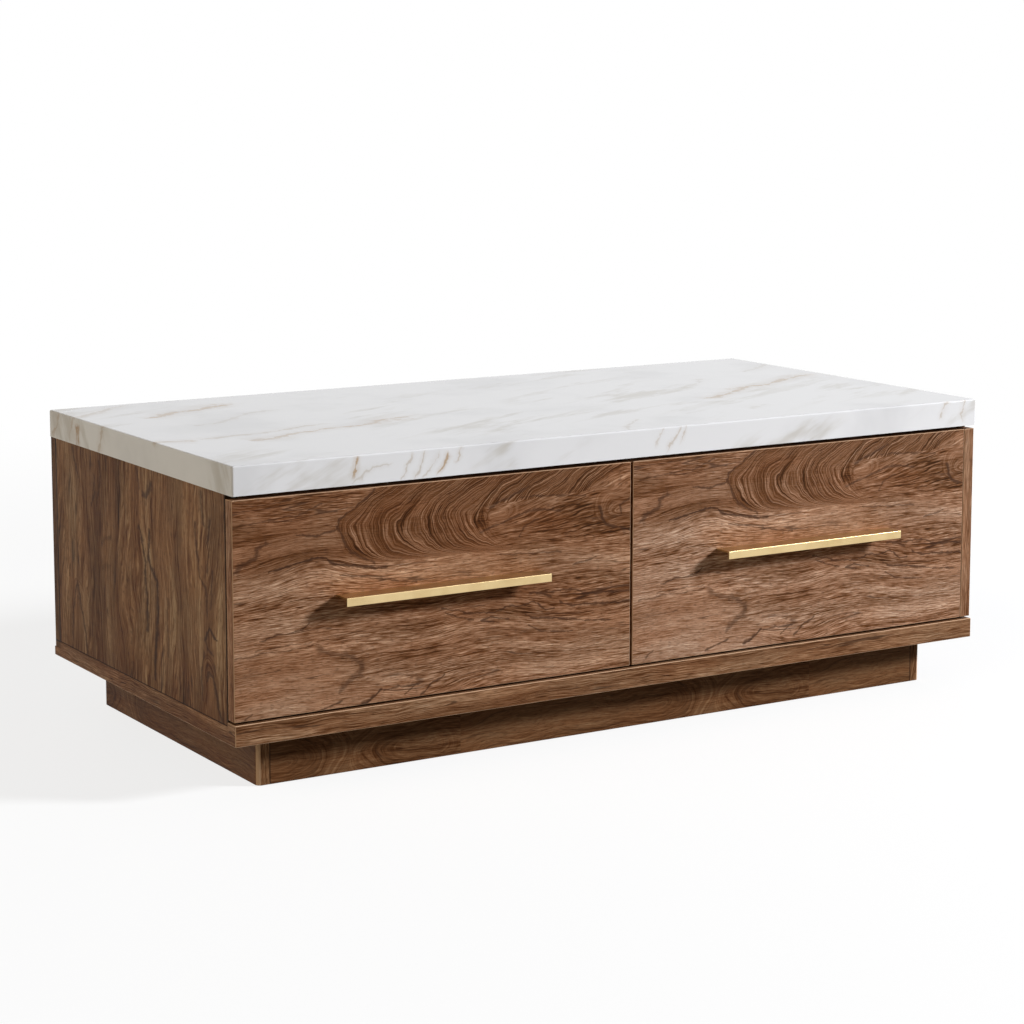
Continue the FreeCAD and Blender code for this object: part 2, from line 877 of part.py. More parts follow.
def box_dowel_holes(drawer):
    """The holes of the box's dowels."""
    return hole_set(box_dowels(drawer), box_dowel_long_end, box_dowel_short_end, box_dowel_radius)


def front_screw_seats(drawer):
    """Where the screws that hold the drawer front bear, inside the box."""
    seats = []
    for x_share in front_screw_x_shares:
        for z_share in front_screw_z_shares:
            x = along(drawer["inside"], x_share)
            seats.append(Vector(x, drawer["inner_depth"][0], along(drawer["height"], z_share)))
    return seats


def handle_span(drawer):
    """The handle is centred on its drawer front."""
    centre = sum(drawer["front"]) / 2
    return (centre - handle_length / 2, centre + handle_length / 2)


def handle_screw_seats(drawer):
    """Where the screws that hold the handle bear, inside the box."""
    seats = []
    for share in handle_screw_shares:
        x = along(handle_span(drawer), share)
        seats.append(Vector(x, drawer["inner_depth"][0], handle_screw_level))
    return seats


def front_holes(drawer):
    """The holes of both kinds of screw that go through the box front."""
    holes = []
    for seat in front_screw_seats(drawer):
        holes.append(screw_hole(seat, forward, front_screw_reach, wood_screw_radius))
    for seat in handle_screw_seats(drawer):
        holes.append(screw_hole(seat, forward, handle_screw_reach, machine_screw_radius))
    return holes


def drawer_front(drawer):
    """The drawer front, with all its edges eased."""
    board = block(drawer["front"], (fronts_face, fronts_back), (front_bottom, front_top))
    return cut_all(rounded(board, front_edge_radius), front_holes(drawer))


def box_end(drawer, y_span, holes):
    """The box's front or back, between the sides, with its top edges eased."""
    board = block(drawer["inside"], y_span, drawer["height"])
    ridge = box_top - box_edge_radius
    top_edges = [edge for edge in edges_along(board, right) if edge.BoundBox.ZMin > ridge]
    board = rounded(board, box_edge_radius, top_edges)
    return cut_all(board, holes + box_dowel_holes(drawer) + [groove_block(drawer)])


def box_front(drawer):
    """The box's front, which the drawer front is screwed to."""
    return box_end(drawer, (drawer["depth"][0], drawer["inner_depth"][0]), front_holes(drawer))


def box_back(drawer):
    """The box's back."""
    return box_end(drawer, (drawer["inner_depth"][1], drawer["depth"][1]), [])


def box_side(drawer, x_span):
    """A side of the box, with its top edges eased."""
    board = block(x_span, drawer["depth"], drawer["height"])
    ridge = box_top - box_edge_radius
    top_edges = [edge for edge in edges_along(board, backward) if edge.BoundBox.ZMin > ridge]
    board = rounded(board, box_edge_radius, top_edges)
    holes = box_dowel_holes(drawer) + [groove_block(drawer)]
    for seat in drawer_slide_seats(drawer["bay"][0]):
        pilot = screw_hole(seat, right, slide_wall + box_board * bite_share, small_screw_radius)
        holes.append(on_both_walls(pilot, drawer["bay"]))
    return cut_all(board, holes)


def box_bottom_sheet(drawer):
    """The drawer's bottom, resting in the grooves."""
    slack = groove_depth - groove_clearance
    x_span = (drawer["inside"][0] - slack, drawer["inside"][1] + slack)
    y_span = (drawer["inner_depth"][0] - slack, drawer["inner_depth"][1] + slack)
    return block(x_span, y_span, (groove_level, groove_level + drawer_bottom_thickness))


def handle(drawer):
    """The pull: a folded strip with a front lip and a shorter flange against the drawer front."""
    x_span = handle_span(drawer)
    face = fronts_face - handle_projection
    flange_bottom = handle_top - handle_flange_height
    bar = block(x_span, (face, fronts_face), (flange_bottom, handle_top))
    hollow = block(x_span, (face + handle_wall, fronts_face - handle_wall),
                   (flange_bottom, handle_top - handle_wall))
    below_lip = block(x_span, (face, face + handle_wall), (flange_bottom, handle_top - handle_lip_height))
    bar = bar.cut(hollow).cut(below_lip)
    for end_span in ((x_span[0], x_span[0] + handle_flange_inset), (x_span[1] - handle_flange_inset, x_span[1])):
        bar = bar.cut(block(end_span, (fronts_face - handle_wall, fronts_face),
                            (flange_bottom, handle_top - handle_wall)))
    bar = bar.removeSplitter()
    outer_edges = []
    for edge in edges_along(bar, right):
        if edge.BoundBox.YMax < face + handle_edge_radius:
            outer_edges.append(edge)
    bar = rounded(bar, handle_edge_radius, outer_edges)
    holes = []
    for seat in handle_screw_seats(drawer):
        holes.append(screw_hole(seat, forward, handle_screw_reach, machine_screw_radius))
    return cut_all(bar, holes)


def handle_screws(drawer):
    """The screws that hold the handle from inside the drawer."""
    made = []
    for seat in handle_screw_seats(drawer):
        made.append(screw(seat, forward, handle_screw_reach, machine_screw_radius, wood_screw_head_radius,
                          wood_screw_head_height))
    return Part.makeCompound(made)


def bumpers(places):
    """Clear pads on the back of a drawer front, which meet the cabinet when it is shut."""
    made = []
    for x, z in places:
        made.append(Part.makeCylinder(bumper_radius, bumper_thickness, Vector(x, fronts_back, z), backward))
    return Part.makeCompound(made)


bumper_low = front_bottom + bumper_inset
bumper_high = rail_underside - bumper_inset
rail_bumper_level = (rail_underside + front_top) / 2
left_bumper_places = (
    ((carcass_left + left_panel_inside) / 2, bumper_low),
    ((carcass_left + left_panel_inside) / 2, bumper_high),
    (left_bay[1] - bumper_inset, rail_bumper_level),
)
right_bumper_places = (
    ((right_front_span[0] + divider_right) / 2, bumper_low),
    ((right_front_span[0] + divider_right) / 2, bumper_high),
    (right_bay[1] - bumper_inset, rail_bumper_level),
)


def drawer_parts(side, drawer, bumper_places):
    """Every piece of one drawer, by node name."""
    outside = drawer["outside"]
    inside = drawer["inside"]
    return {
        side + "_drawer_front": drawer_front(drawer),
        side + "_drawer_box_front": box_front(drawer),
        side + "_drawer_box_back": box_back(drawer),
        side + "_drawer_left_side": box_side(drawer, (outside[0], inside[0])),
        side + "_drawer_right_side": box_side(drawer, (inside[1], outside[1])),
        side + "_drawer_bottom": box_bottom_sheet(drawer),
        side + "_drawer_dowels": dowels(box_dowels(drawer), box_dowel_long_end, box_dowel_short_end,
                                        box_dowel_radius),
        side + "_drawer_front_screws": wood_screws(front_screw_seats(drawer), forward, front_screw_reach),
        side + "_drawer_handle": handle(drawer),
        side + "_drawer_handle_screws": handle_screws(drawer),
        side + "_drawer_bumpers": bumpers(bumper_places),
        side + "_drawer_slide_channels": drawer_slides(drawer["bay"]),
        side + "_drawer_slide_screws": drawer_slide_screws(drawer["bay"]),
        side + "_middle_slide_channels": middle_slides(drawer["bay"]),
        side + "_cabinet_slide_channels": cabinet_slides(drawer["bay"]),
    }


def cabinet_parts():
    """Every piece of the top, the cabinet and the plinth, by node name."""
    rail_seats = top_screws(front_rail_span) + top_screws(rear_rail_span)
    divider_seats = divider_screws(front_rail_span) + divider_screws(rear_rail_span)
    return {
        "marble_top": marble_top(),
        "top_core_board": top_core_board(),
        "left_side_panel": side_panel("left", (carcass_left, left_panel_inside)),
        "right_side_panel": side_panel("right", (right_panel_inside, carcass_right)),
        "centre_divider": centre_divider(),
        "back_panel": back_panel(),
        "bottom_panel": bottom_panel(),
        "front_top_rail": top_rail(front_rail_span),
        "rear_top_rail": top_rail(rear_rail_span),
        "right_end_strip": right_end_strip(),
        "plinth_front_board": plinth_long_board((plinth_front, plinth_inner_front), front_board_axis,
                                                plinth_inner_front, backward),
        "plinth_back_board": plinth_long_board((plinth_inner_back, plinth_back), back_board_axis,
                                               plinth_inner_back, forward),
        "plinth_left_board": plinth_side_board((plinth_left, plinth_inner_left), plinth_left),
        "plinth_right_board": plinth_side_board((plinth_inner_right, plinth_right), plinth_right),
        "plinth_centre_rail": plinth_centre_rail(),
        "plinth_corner_blocks": plinth_corner_blocks(),
        "floor_glides": floor_glides(),
        "carcass_dowels": carcass_dowels(),
        "plinth_dowels": plinth_dowels(),
        "confirmat_screws": confirmat_screws(),
        "cam_locks": cam_locks(),
        "cam_bolts": cam_bolts(),
        "top_fixing_screws": wood_screws(rail_seats, up, top_screw_reach),
        "divider_screws": wood_screws(divider_seats, down, divider_screw_reach),
        "plinth_fixing_screws": wood_screws(plinth_screw_seats(), up, plinth_screw_reach),
        "cabinet_slide_screws": cabinet_slide_screws(),
    }


parts = cabinet_parts()
parts.update(drawer_parts("left", drawer_sizes(left_bay, left_front_span), left_bumper_places))
parts.update(drawer_parts("right", drawer_sizes(right_bay, right_front_span), right_bumper_places))

os.makedirs("parts", exist_ok=True)
for name, shape in parts.items():
    shape.exportStep(os.path.join("parts", name + ".step"))
    print(name, len(shape.Solids), "solids", round(shape.Volume), "mm3")
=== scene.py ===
import bpy
import json
import math
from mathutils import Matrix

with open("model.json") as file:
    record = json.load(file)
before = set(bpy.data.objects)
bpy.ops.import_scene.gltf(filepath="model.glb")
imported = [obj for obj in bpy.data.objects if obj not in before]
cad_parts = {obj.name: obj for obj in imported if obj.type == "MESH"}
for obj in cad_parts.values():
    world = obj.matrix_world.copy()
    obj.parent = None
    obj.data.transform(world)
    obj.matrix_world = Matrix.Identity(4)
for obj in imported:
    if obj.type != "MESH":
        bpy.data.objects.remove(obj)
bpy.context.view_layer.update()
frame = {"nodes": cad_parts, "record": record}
cadNodes = frame["nodes"]
print("loaded", len(cadNodes), "nodes")

bpy.context.scene.view_settings.view_transform = "Standard"


# Camera

cameraSettings = {
    "place": (-1.9581, -3.1751, 0.9301),
    "turn": -31.493,  # degrees round the upright axis
    "tilt": -7.828,
    "lens": 91.8,
    "sensor": 36,
    "shift": -0.10,
    "farthest": 60,
}


def makeCamera(settings):
    bpy.ops.object.camera_add(location=settings["place"])
    camera = bpy.context.object
    camera.name = "photoCamera"
    camera.rotation_euler = (math.radians(90 + settings["tilt"]), 0, math.radians(settings["turn"]))
    camera.data.lens = settings["lens"]
    camera.data.sensor_width = settings["sensor"]
    camera.data.shift_y = settings["shift"]
    camera.data.clip_end = settings["farthest"]
    bpy.context.scene.camera = camera


makeCamera(cameraSettings)
print("camera placed")


# Small helpers for node trees

def addNode(tree, kind, inputs=None, **settings):
    node = tree.nodes.new(kind)
    for name, value in settings.items():
        setattr(node, name, value)
    for name, value in (inputs or {}).items():
        plug(tree, value, node.inputs[name])
    return node


def plug(tree, value, socket):
    if isinstance(value, bpy.types.NodeSocket):
        tree.links.new(value, socket)
    else:
        socket.default_value = value


def calc(tree, operation, first, second=0.0, third=0.0, clamp=False):
    node = addNode(tree, "ShaderNodeMath", operation=operation, use_clamp=clamp)
    for socket, value in zip(node.inputs, (first, second, third)):
        plug(tree, value, socket)
    return node.outputs[0]


def calcVector(tree, operation, first, second=(0.0, 0.0, 0.0), scale=1.0):
    node = addNode(tree, "ShaderNodeVectorMath", operation=operation)
    plug(tree, first, node.inputs[0])
    plug(tree, second, node.inputs[1])
    plug(tree, scale, node.inputs[3])
    return node.outputs["Value" if operation in ("DOT_PRODUCT", "DISTANCE", "LENGTH") else "Vector"]


def fade(tree, value, low, high, outLow=0.0, outHigh=1.0):
    node = addNode(tree, "ShaderNodeMapRange", interpolation_type="SMOOTHSTEP")
    names = ("Value", "From Min", "From Max", "To Min", "To Max")
    for name, given in zip(names, (value, low, high, outLow, outHigh)):
        plug(tree, given, node.inputs[name])
    return node.outputs[0]


def mixColour(tree, amount, first, second, blend="MIX"):
    node = addNode(tree, "ShaderNodeMix", data_type="RGBA", blend_type=blend)
    plug(tree, amount, node.inputs[0])
    for colour, socket in ((first, node.inputs[6]), (second, node.inputs[7])):
        plug(tree, colour if isinstance(colour, bpy.types.NodeSocket) else (*colour, 1), socket)
    return node.outputs[2]


def mixValue(tree, amount, first, second):
    node = addNode(tree, "ShaderNodeMix", data_type="FLOAT")
    plug(tree, amount, node.inputs[0])
    plug(tree, first, node.inputs[2])
    plug(tree, second, node.inputs[3])
    return node.outputs[0]


def joinXY(tree, x, y):
    return addNode(tree, "ShaderNodeCombineXYZ", {"X": x, "Y": y}).outputs[0]


def splitXYZ(tree, vector):
    return addNode(tree, "ShaderNodeSeparateXYZ", {"Vector": vector}).outputs


def gapBetween(tree, first, second):
    return calc(tree, "ABSOLUTE", calc(tree, "SUBTRACT", first, second))


def addSquares(tree, x, y):
    return calc(tree, "ADD", calc(tree, "MULTIPLY", x, x), calc(tree, "MULTIPLY", y, y))


def noise(tree, place, scale, detail, roughness, flat=True):
    inputs = {"Vector": place, "Scale": scale, "Detail": detail, "Roughness": roughness}
    return addNode(tree, "ShaderNodeTexNoise", inputs, noise_dimensions="2D" if flat else "3D").outputs[0]


def swing(tree, value):
    # a noise moved down, so that it swings about zero
    return calc(tree, "SUBTRACT", value, 0.5)


def ramp(tree, value, stops):
    node = addNode(tree, "ShaderNodeValToRGB")
    plug(tree, value, node.inputs[0])
    marks = node.color_ramp.elements
    while len(marks) < len(stops):
        marks.new(1.0)
    for mark, (place, colour) in zip(marks, stops):
        mark.position = place
        mark.color = (*colour, 1.0)
    return node.outputs[0]


def startGroup(name, inputs, outputs):
    group = bpy.data.node_groups.new(name, "ShaderNodeTree")
    kinds = {float: "NodeSocketFloat", tuple: "NodeSocketVector"}
    for socketName, value in inputs.items():
        socket = group.interface.new_socket(name=socketName, in_out="INPUT", socket_type=kinds[type(value)])
        socket.default_value = value
    for socketName in outputs:
        group.interface.new_socket(name=socketName, in_out="OUTPUT", socket_type="NodeSocketFloat")
    entry = group.nodes.new("NodeGroupInput").outputs
    leave = group.nodes.new("NodeGroupOutput").inputs
    return group, entry, leave


def useGroup(tree, group, inputs):
    return addNode(tree, "ShaderNodeGroup", inputs, node_tree=group).outputs


def startMaterial(name, shaderValues):
    material = bpy.data.materials.new(name)
    material.use_nodes = True
    tree = material.node_tree
    shader = tree.nodes["Principled BSDF"]
    for socketName, value in shaderValues.items():
        shader.inputs[socketName].default_value = value
    where = tree.nodes.new("ShaderNodeTexCoord").outputs
    return material, tree, shader, where


def dress(material, *names):
    for name in names:
        slots = cadNodes[name].data.materials
        slots.clear()
        slots.append(material)


def addBump(tree, shader, height, distance, strength):
    node = addNode(tree, "ShaderNodeBump", {"Height": height, "Distance": distance, "Strength": strength})
    tree.links.new(node.outputs[0], shader.inputs["Normal"])


# Groups that several materials share

noiseGain = 4.0  # a noise swings only about an eighth each way
squareSide = 0.7072  # just past 45 degrees, so no spot counts for two sides of a board
roundedEdge = (0.9, 0.995)  # how square the surface is where an edge gets the full painted highlight, and where that ends


def makeBoardPlace():
    # which way the grain runs on each side of a board, and where its rounded edges are
    group, entry, leave = startGroup(
        "boardPlace",
        {"Place": (0.0, 0.0, 0.0), "Normal": (0.0, 0.0, 0.0),
         "Along X Sides": (0.0, 0.0, 1.0), "Across X Sides": (0.0, 1.0, 0.0),
         "Along Y Sides": (1.0, 0.0, 0.0), "Across Y Sides": (0.0, 0.0, 1.0),
         "Along Z Sides": (1.0, 0.0, 0.0), "Across Z Sides": (0.0, 1.0, 0.0)},
        ("Along", "Across", "Edge"))
    size = calcVector(group, "ABSOLUTE", entry["Normal"])
    parts = splitXYZ(group, size)
    sides = {letter: calc(group, "GREATER_THAN", parts[letter], squareSide) for letter in "XYZ"}
    for direction in ("Along", "Across"):
        total = 0.0
        for letter, side in sides.items():
            spot = calcVector(group, "DOT_PRODUCT", entry["Place"], entry[f"{direction} {letter} Sides"])
            total = calc(group, "MULTIPLY_ADD", spot, side, total)
        plug(group, total, leave[direction])
    longest = calc(group, "MAXIMUM", calc(group, "MAXIMUM", parts["X"], parts["Y"]), parts["Z"])
    plug(group, fade(group, longest, *roundedEdge, 1.0, 0.0), leave["Edge"])
    return group


def makeGrainField():
    # across the grain, with wide and narrow waves, in metres
    group, entry, leave = startGroup(
        "grainField",
        {"Along": 0.0, "Across": 0.0, "Wide Length": 0.3, "Wide Height": 0.09, "Wide Amount": 0.014,
         "Narrow Length": 0.06, "Narrow Height": 0.02, "Narrow Amount": 0.0025, "Seed": 0.0},
        ("Field",))
    total = entry["Across"]
    for size in ("Wide", "Narrow"):
        x = calc(group, "DIVIDE", entry["Along"], entry[f"{size} Length"])
        y = calc(group, "DIVIDE", entry["Across"], entry[f"{size} Height"])
        place = joinXY(group, calc(group, "ADD", x, entry["Seed"]), calc(group, "ADD", y, entry["Seed"]))
        wave = swing(group, noise(group, place, 1.0, 1.0, 0.4))
        amount = calc(group, "MULTIPLY", entry[f"{size} Amount"], noiseGain)
        total = calc(group, "MULTIPLY_ADD", wave, amount, total)
    plug(group, total, leave["Field"])
    return group


def makeFieldHill():
    # a soft hill that bends the grain round one spot
    group, entry, leave = startGroup(
        "fieldHill",
        {"X": 0.0, "Y": 0.0, "Centre X": 0.0, "Centre Y": 0.0, "Half Length": 0.1, "Half Height": 0.03,
         "Amount": 0.02},
        ("Value",))
    x = calc(group, "DIVIDE", calc(group, "SUBTRACT", entry["X"], entry["Centre X"]), entry["Half Length"])
    y = calc(group, "DIVIDE", calc(group, "SUBTRACT", entry["Y"], entry["Centre Y"]), entry["Half Height"])
    hill = calc(group, "EXPONENT", calc(group, "MULTIPLY", addSquares(group, x, y), -1.0))
    plug(group, calc(group, "MULTIPLY", hill, entry["Amount"]), leave["Value"])
    return group


def makeArchFigure():
    # stacked arches that all bow the same way, as in wood cut near a fork
    group, entry, leave = startGroup(
        "archFigure",
        {"X": 0.0, "Y": 0.0, "Centre Y": 0.0, "Half Height": 0.045, "Upper Bow": 0.058, "Upper Power": 1.4,
         "Lower Bow": 0.0115, "Lower Power": 1.5, "Turn Away": 1.35, "First": 0.15, "Last": 0.34,
         "Upper Last": 0.34, "Soft": 0.012, "Stop": 1.1, "Stop Soft": 0.12},
        ("Field", "Mask"))
    height = calc(group, "SUBTRACT", entry["Y"], entry["Centre Y"])
    rise = calc(group, "DIVIDE", height, entry["Half Height"])
    above = calc(group, "MAXIMUM", calc(group, "MULTIPLY", rise, -1.0), 0.0)
    below = calc(group, "MAXIMUM", rise, 0.0)
    upper = calc(group, "MULTIPLY", calc(group, "POWER", above, entry["Upper Power"]), entry["Upper Bow"])
    room = calc(group, "MAXIMUM", calc(group, "SUBTRACT", entry["Turn Away"], below), 0.08)
    lower = calc(group, "DIVIDE", calc(group, "POWER", below, entry["Lower Power"]), room)
    bend = calc(group, "MULTIPLY_ADD", lower, entry["Lower Bow"], upper)
    field = calc(group, "SUBTRACT", entry["X"], bend)
    start = fade(group, field, entry["First"], calc(group, "ADD", entry["First"], entry["Soft"]))
    last = mixValue(group, fade(group, above, 0.15, 0.35), entry["Last"], entry["Upper Last"])
    end = fade(group, field, last, calc(group, "MULTIPLY_ADD", entry["Soft"], 2.0, last), 1.0, 0.0)
    stopped = calc(group, "ADD", entry["Stop"], entry["Stop Soft"])
    foot = fade(group, below, entry["Stop"], stopped, 1.0, 0.0)
    plug(group, field, leave["Field"])
    plug(group, calc(group, "MULTIPLY", calc(group, "MULTIPLY", start, end), foot), leave["Mask"])
    return group


def makeRingFigure():
    # rings round a knot or a tongue: how far from its middle line, and where it shows
    group, entry, leave = startGroup(
        "ringFigure",
        {"X": 0.0, "Y": 0.0, "Centre X": 0.0, "Centre Y": 0.0, "Half Length": 0.01, "Stretch": 1.6,
         "Reach": 0.03, "Soft": 0.01},
        ("Distance", "Mask"))
    side = gapBetween(group, entry["X"], entry["Centre X"])
    past = calc(group, "MAXIMUM", calc(group, "SUBTRACT", side, entry["Half Length"]), 0.0)
    x = calc(group, "DIVIDE", past, entry["Stretch"])
    y = calc(group, "SUBTRACT", entry["Y"], entry["Centre Y"])
    distance = calc(group, "SQRT", addSquares(group, x, y))
    faded = calc(group, "ADD", entry["Reach"], entry["Soft"])
    plug(group, distance, leave["Distance"])
    plug(group, fade(group, distance, entry["Reach"], faded, 1.0, 0.0), leave["Mask"])
    return group


def makeLineDistance():
    # how far a place is from one straight piece of a drawn line
    group, entry, leave = startGroup(
        "lineDistance",
        {"Place": (0.0, 0.0, 0.0), "Start": (0.0, 0.0, 0.0), "Way": (1.0, 0.0, 0.0), "Length": 0.1},
        ("Distance",))
    fromStart = calcVector(group, "SUBTRACT", entry["Place"], entry["Start"])
    run = calcVector(group, "DOT_PRODUCT", fromStart, entry["Way"])
    run = calc(group, "MINIMUM", calc(group, "MAXIMUM", run, 0.0), entry["Length"])
    nearest = calcVector(group, "SCALE", entry["Way"], scale=run)
    plug(group, calcVector(group, "DISTANCE", fromStart, nearest), leave["Distance"])
    return group


def makeWoodLines():
    # shade from dark 0 to light 1, made of bands, lines and fibres that follow the field
    group, entry, leave = startGroup(
        "woodLines",
        {"Along": 0.0, "Field": 0.0, "Line Size": 0.0019, "Stretch": 17.0, "Fibres": 0.28, "Lines": 0.115,
         "Streaks": 0.045, "Bands": 0.1, "Tone": 0.12, "Threads": 0.27, "Seed": 0.0},
        ("Shade", "Vein", "Pore"))
    v = calc(group, "DIVIDE", entry["Field"], entry["Line Size"])
    u = calc(group, "DIVIDE", entry["Along"], calc(group, "MULTIPLY", entry["Line Size"], entry["Stretch"]))

    def layer(alongScale, acrossScale, detail, roughness, shift):
        x = calc(group, "MULTIPLY_ADD", u, alongScale, calc(group, "ADD", entry["Seed"], shift))
        y = calc(group, "MULTIPLY_ADD", v, acrossScale, shift * 1.7)
        return noise(group, joinXY(group, x, y), 1.0, detail, roughness)

    def ridge(value, low, high):
        return fade(group, gapBetween(group, value, 0.5), low, high, 1.0, 0.0)

    shade = 0.5
    # the fine lines are weaker where the wood is calm
    calm = fade(group, layer(0.12, 0.06, 1.0, 0.5, 83.1), 0.38, 0.6, 2.9, 4.3)
    # name, gain, scale along, scale across, detail, roughness, shift
    layers = (
        ("Fibres", calm, 1.4, 1.9, 1.0, 0.7, 3.1),
        ("Lines", calm, 0.38, 0.85, 1.0, 0.5, 11.7),
        ("Streaks", calm, 0.17, 0.34, 1.0, 0.5, 19.3),
        ("Bands", noiseGain, 0.1, 0.1, 1.0, 0.5, 23.4),
        ("Tone", noiseGain, 0.05, 0.035, 1.0, 0.5, 37.9),
    )
    for name, gain, alongScale, acrossScale, detail, roughness, shift in layers:
        wave = swing(group, layer(alongScale, acrossScale, detail, roughness, shift))
        shade = calc(group, "MULTIPLY_ADD", wave, calc(group, "MULTIPLY", entry[name], gain), shade)
    threads = ridge(layer(0.28, 0.42, 2.0, 0.5, 44.6), 0.01, 0.055)
    threadPlaces = fade(group, layer(0.15, 0.12, 1.0, 0.5, 48.2), 0.42, 0.6)
    threads = calc(group, "MULTIPLY", calc(group, "MULTIPLY", threads, threadPlaces), entry["Threads"])
    plug(group, calc(group, "SUBTRACT", shade, threads), leave["Shade"])
    veins = ridge(layer(0.1, 0.1, 2.0, 0.5, 53.2), 0.004, 0.016)
    veinPlaces = fade(group, layer(0.2, 0.06, 1.0, 0.5, 61.8), 0.5, 0.6)
    plug(group, calc(group, "MULTIPLY", veins, veinPlaces), leave["Vein"])
    plug(group, fade(group, layer(4.5, 1.9, 1.0, 0.5, 71.3), 0.55, 0.68), leave["Pore"])
    return group


def makeFingerMarks():
    # faint uneven gloss, as handling leaves it
    group, entry, leave = startGroup("fingerMarks", {"Place": (0.0, 0.0, 0.0), "Amount": 0.05}, ("Rough",))
    broad = swing(group, noise(group, entry["Place"], 9.0, 3.0, 0.6, flat=False))
    small = swing(group, noise(group, entry["Place"], 70.0, 2.0, 0.5, flat=False))
    both = calc(group, "MULTIPLY_ADD", small, 0.4, broad)
    amount = calc(group, "MULTIPLY", entry["Amount"], noiseGain)
    plug(group, calc(group, "MULTIPLY", both, amount), leave["Rough"])
    return group


boardPlace = makeBoardPlace()
grainField = makeGrainField()
fieldHill = makeFieldHill()
archFigure = makeArchFigure()
ringFigure = makeRingFigure()
lineDistance = makeLineDistance()
woodLines = makeWoodLines()
fingerMarks = makeFingerMarks()
print("node groups made")


def addFingerMarks(tree, where, amount, roughness):
    marks = useGroup(tree, fingerMarks, {"Place": where["Object"], "Amount": amount})["Rough"]
    return calc(tree, "ADD", marks, roughness)


# Walnut

walnut = {
    "stops": (
        (0.0, (0.0329, 0.0106, 0.0024)),
        (0.25, (0.1118, 0.04, 0.0129)),
        (0.5, (0.2471, 0.1188, 0.0624)),
        (0.75, (0.4059, 0.2329, 0.1412)),
        (1.0, (0.5882, 0.3765, 0.2471)),
    ),
    "hueShift": ((0.015, -0.02, -0.06), (-0.03, 0.02, 0.05)),  # slow change from redder to greyer
    "vein": (0.0412, 0.0176, 0.0094),
    # colour of the painted highlight on the rounded edges
    "edge": (0.5882, 0.3882, 0.2471),
    "jointShadow": (0.0141, 0.0082, 0.0047),
    "veins": 0.7,  # how strong the veins, pores and painted edge highlights show
    "pores": 0.38,
    "edges": 0.8,
    "poreDepth": 0.4,
    "backEnds": 0.33,  # how much darker the bare ends of the back panel are
    "hueSize": (7.0, 22.0),  # changes a metre, along and across the grain
    "bump": {"distance": 0.00025, "strength": 0.5},
    "gloss": {"Roughness": 0.5, "Specular IOR Level": 0.04},
    "lightGloss": 0.08,  # how much smoother the light lines are than the dark
    "fingerMarks": 0.03,
}

# each board as it looks in the photograph's light
# partly each board's own colour and partly painted light and shade: the side panels and the plinth darker,
# the right front lighter
tints = {
    "rightFront": (1.12, 1.19, 1.29),
    "side": (0.78, 0.8, 0.69),
    "endStrip": (0.92, 0.92, 0.92),
    "back": (0.82, 0.81, 0.66),
    "bottom": (0.75, 0.73, 0.66),
    "plinth": (0.56, 0.52, 0.42),
}

# dark wavy marks, in millimetres
markLook = {
    "wobbleScale": 0.05,
    "wobble": (8.0, 8.0, 0.0),
    "thickness": (0.5, 1.5),
    "soft": (0.1, 1.1),  # shares of a mark's width where it is darkest, and where it ends
}

# dark joint lines: axis, place and width beside the upright boards, and on the plinth how far from its middle
joints = {
    "side": (("Y", 0.279, 0.0028), ("Y", -0.2775, 0.003), ("Z", 0.0925, 0.002)),
    "sideStrength": 0.9,
    "plinthPlace": 0.528,
    "plinthWidths": (0.0004, 0.0014),
    "plinthStrength": 0.7,
}

uprightAxes = {
    "Along X Sides": (0, 0, 1), "Across X Sides": (0, 1, 0),
    "Along Y Sides": (0, 0, 1), "Across Y Sides": (1, 0, 0),
    "Along Z Sides": (0, 1, 0), "Across Z Sides": (1, 0, 0),
}
lengthAxes = {
    "Along X Sides": (0, 1, 0), "Across X Sides": (0, 0, 1),
    "Along Y Sides": (1, 0, 0), "Across Y Sides": (0, 0, 1),
    "Along Z Sides": (1, 0, 0), "Across Z Sides": (0, 1, 0),
}
frontAxes = {
    "Along X Sides": (0, 0, 1), "Across X Sides": (0, 1, 0),
    "Along Y Sides": (1, 0, 0), "Across Y Sides": (0, 0, 1),
    "Along Z Sides": (1, 0, 0), "Across Z Sides": (0, 1, 0),
}


def finishWood(tree, shader, where, drawn, edge, look):
    colour = ramp(tree, drawn["Shade"], walnut["stops"])
    for name, strength in (("Vein", walnut["veins"]), ("Pore", walnut["pores"])):
        colour = mixColour(tree, calc(tree, "MULTIPLY", drawn[name], strength), colour, walnut["vein"])
    if "marks" in drawn:
        colour = mixColour(tree, drawn["marks"], colour, walnut["vein"])
    hueStrength = look.get("hues", 1.0)
    redder, greyer = ([1 + hueStrength * part for part in way] for way in walnut["hueShift"])
    colour = mixColour(tree, 1.0, colour, mixColour(tree, drawn["hue"], redder, greyer), "MULTIPLY")
    # partly painted light and shade: the board's tint darkens or lightens its colour
    if "tint" in look:
        colour = mixColour(tree, 1.0, colour, look["tint"], "MULTIPLY")
    # painted highlight: the rounded edges lightened
    colour = mixColour(tree, calc(tree, "MULTIPLY", edge, walnut["edges"]), colour, walnut["edge"])
    if "joint" in look:
        colour = mixColour(tree, look["joint"](tree, where), colour, walnut["jointShadow"])
    tree.links.new(colour, shader.inputs["Base Color"])
    rough = addFingerMarks(tree, where, walnut["fingerMarks"], walnut["gloss"]["Roughness"])
    rough = calc(tree, "MULTIPLY_ADD", drawn["Shade"], -walnut["lightGloss"], rough)
    plug(tree, rough, shader.inputs["Roughness"])
    addBump(tree, shader, drawn["relief"], **walnut["bump"])


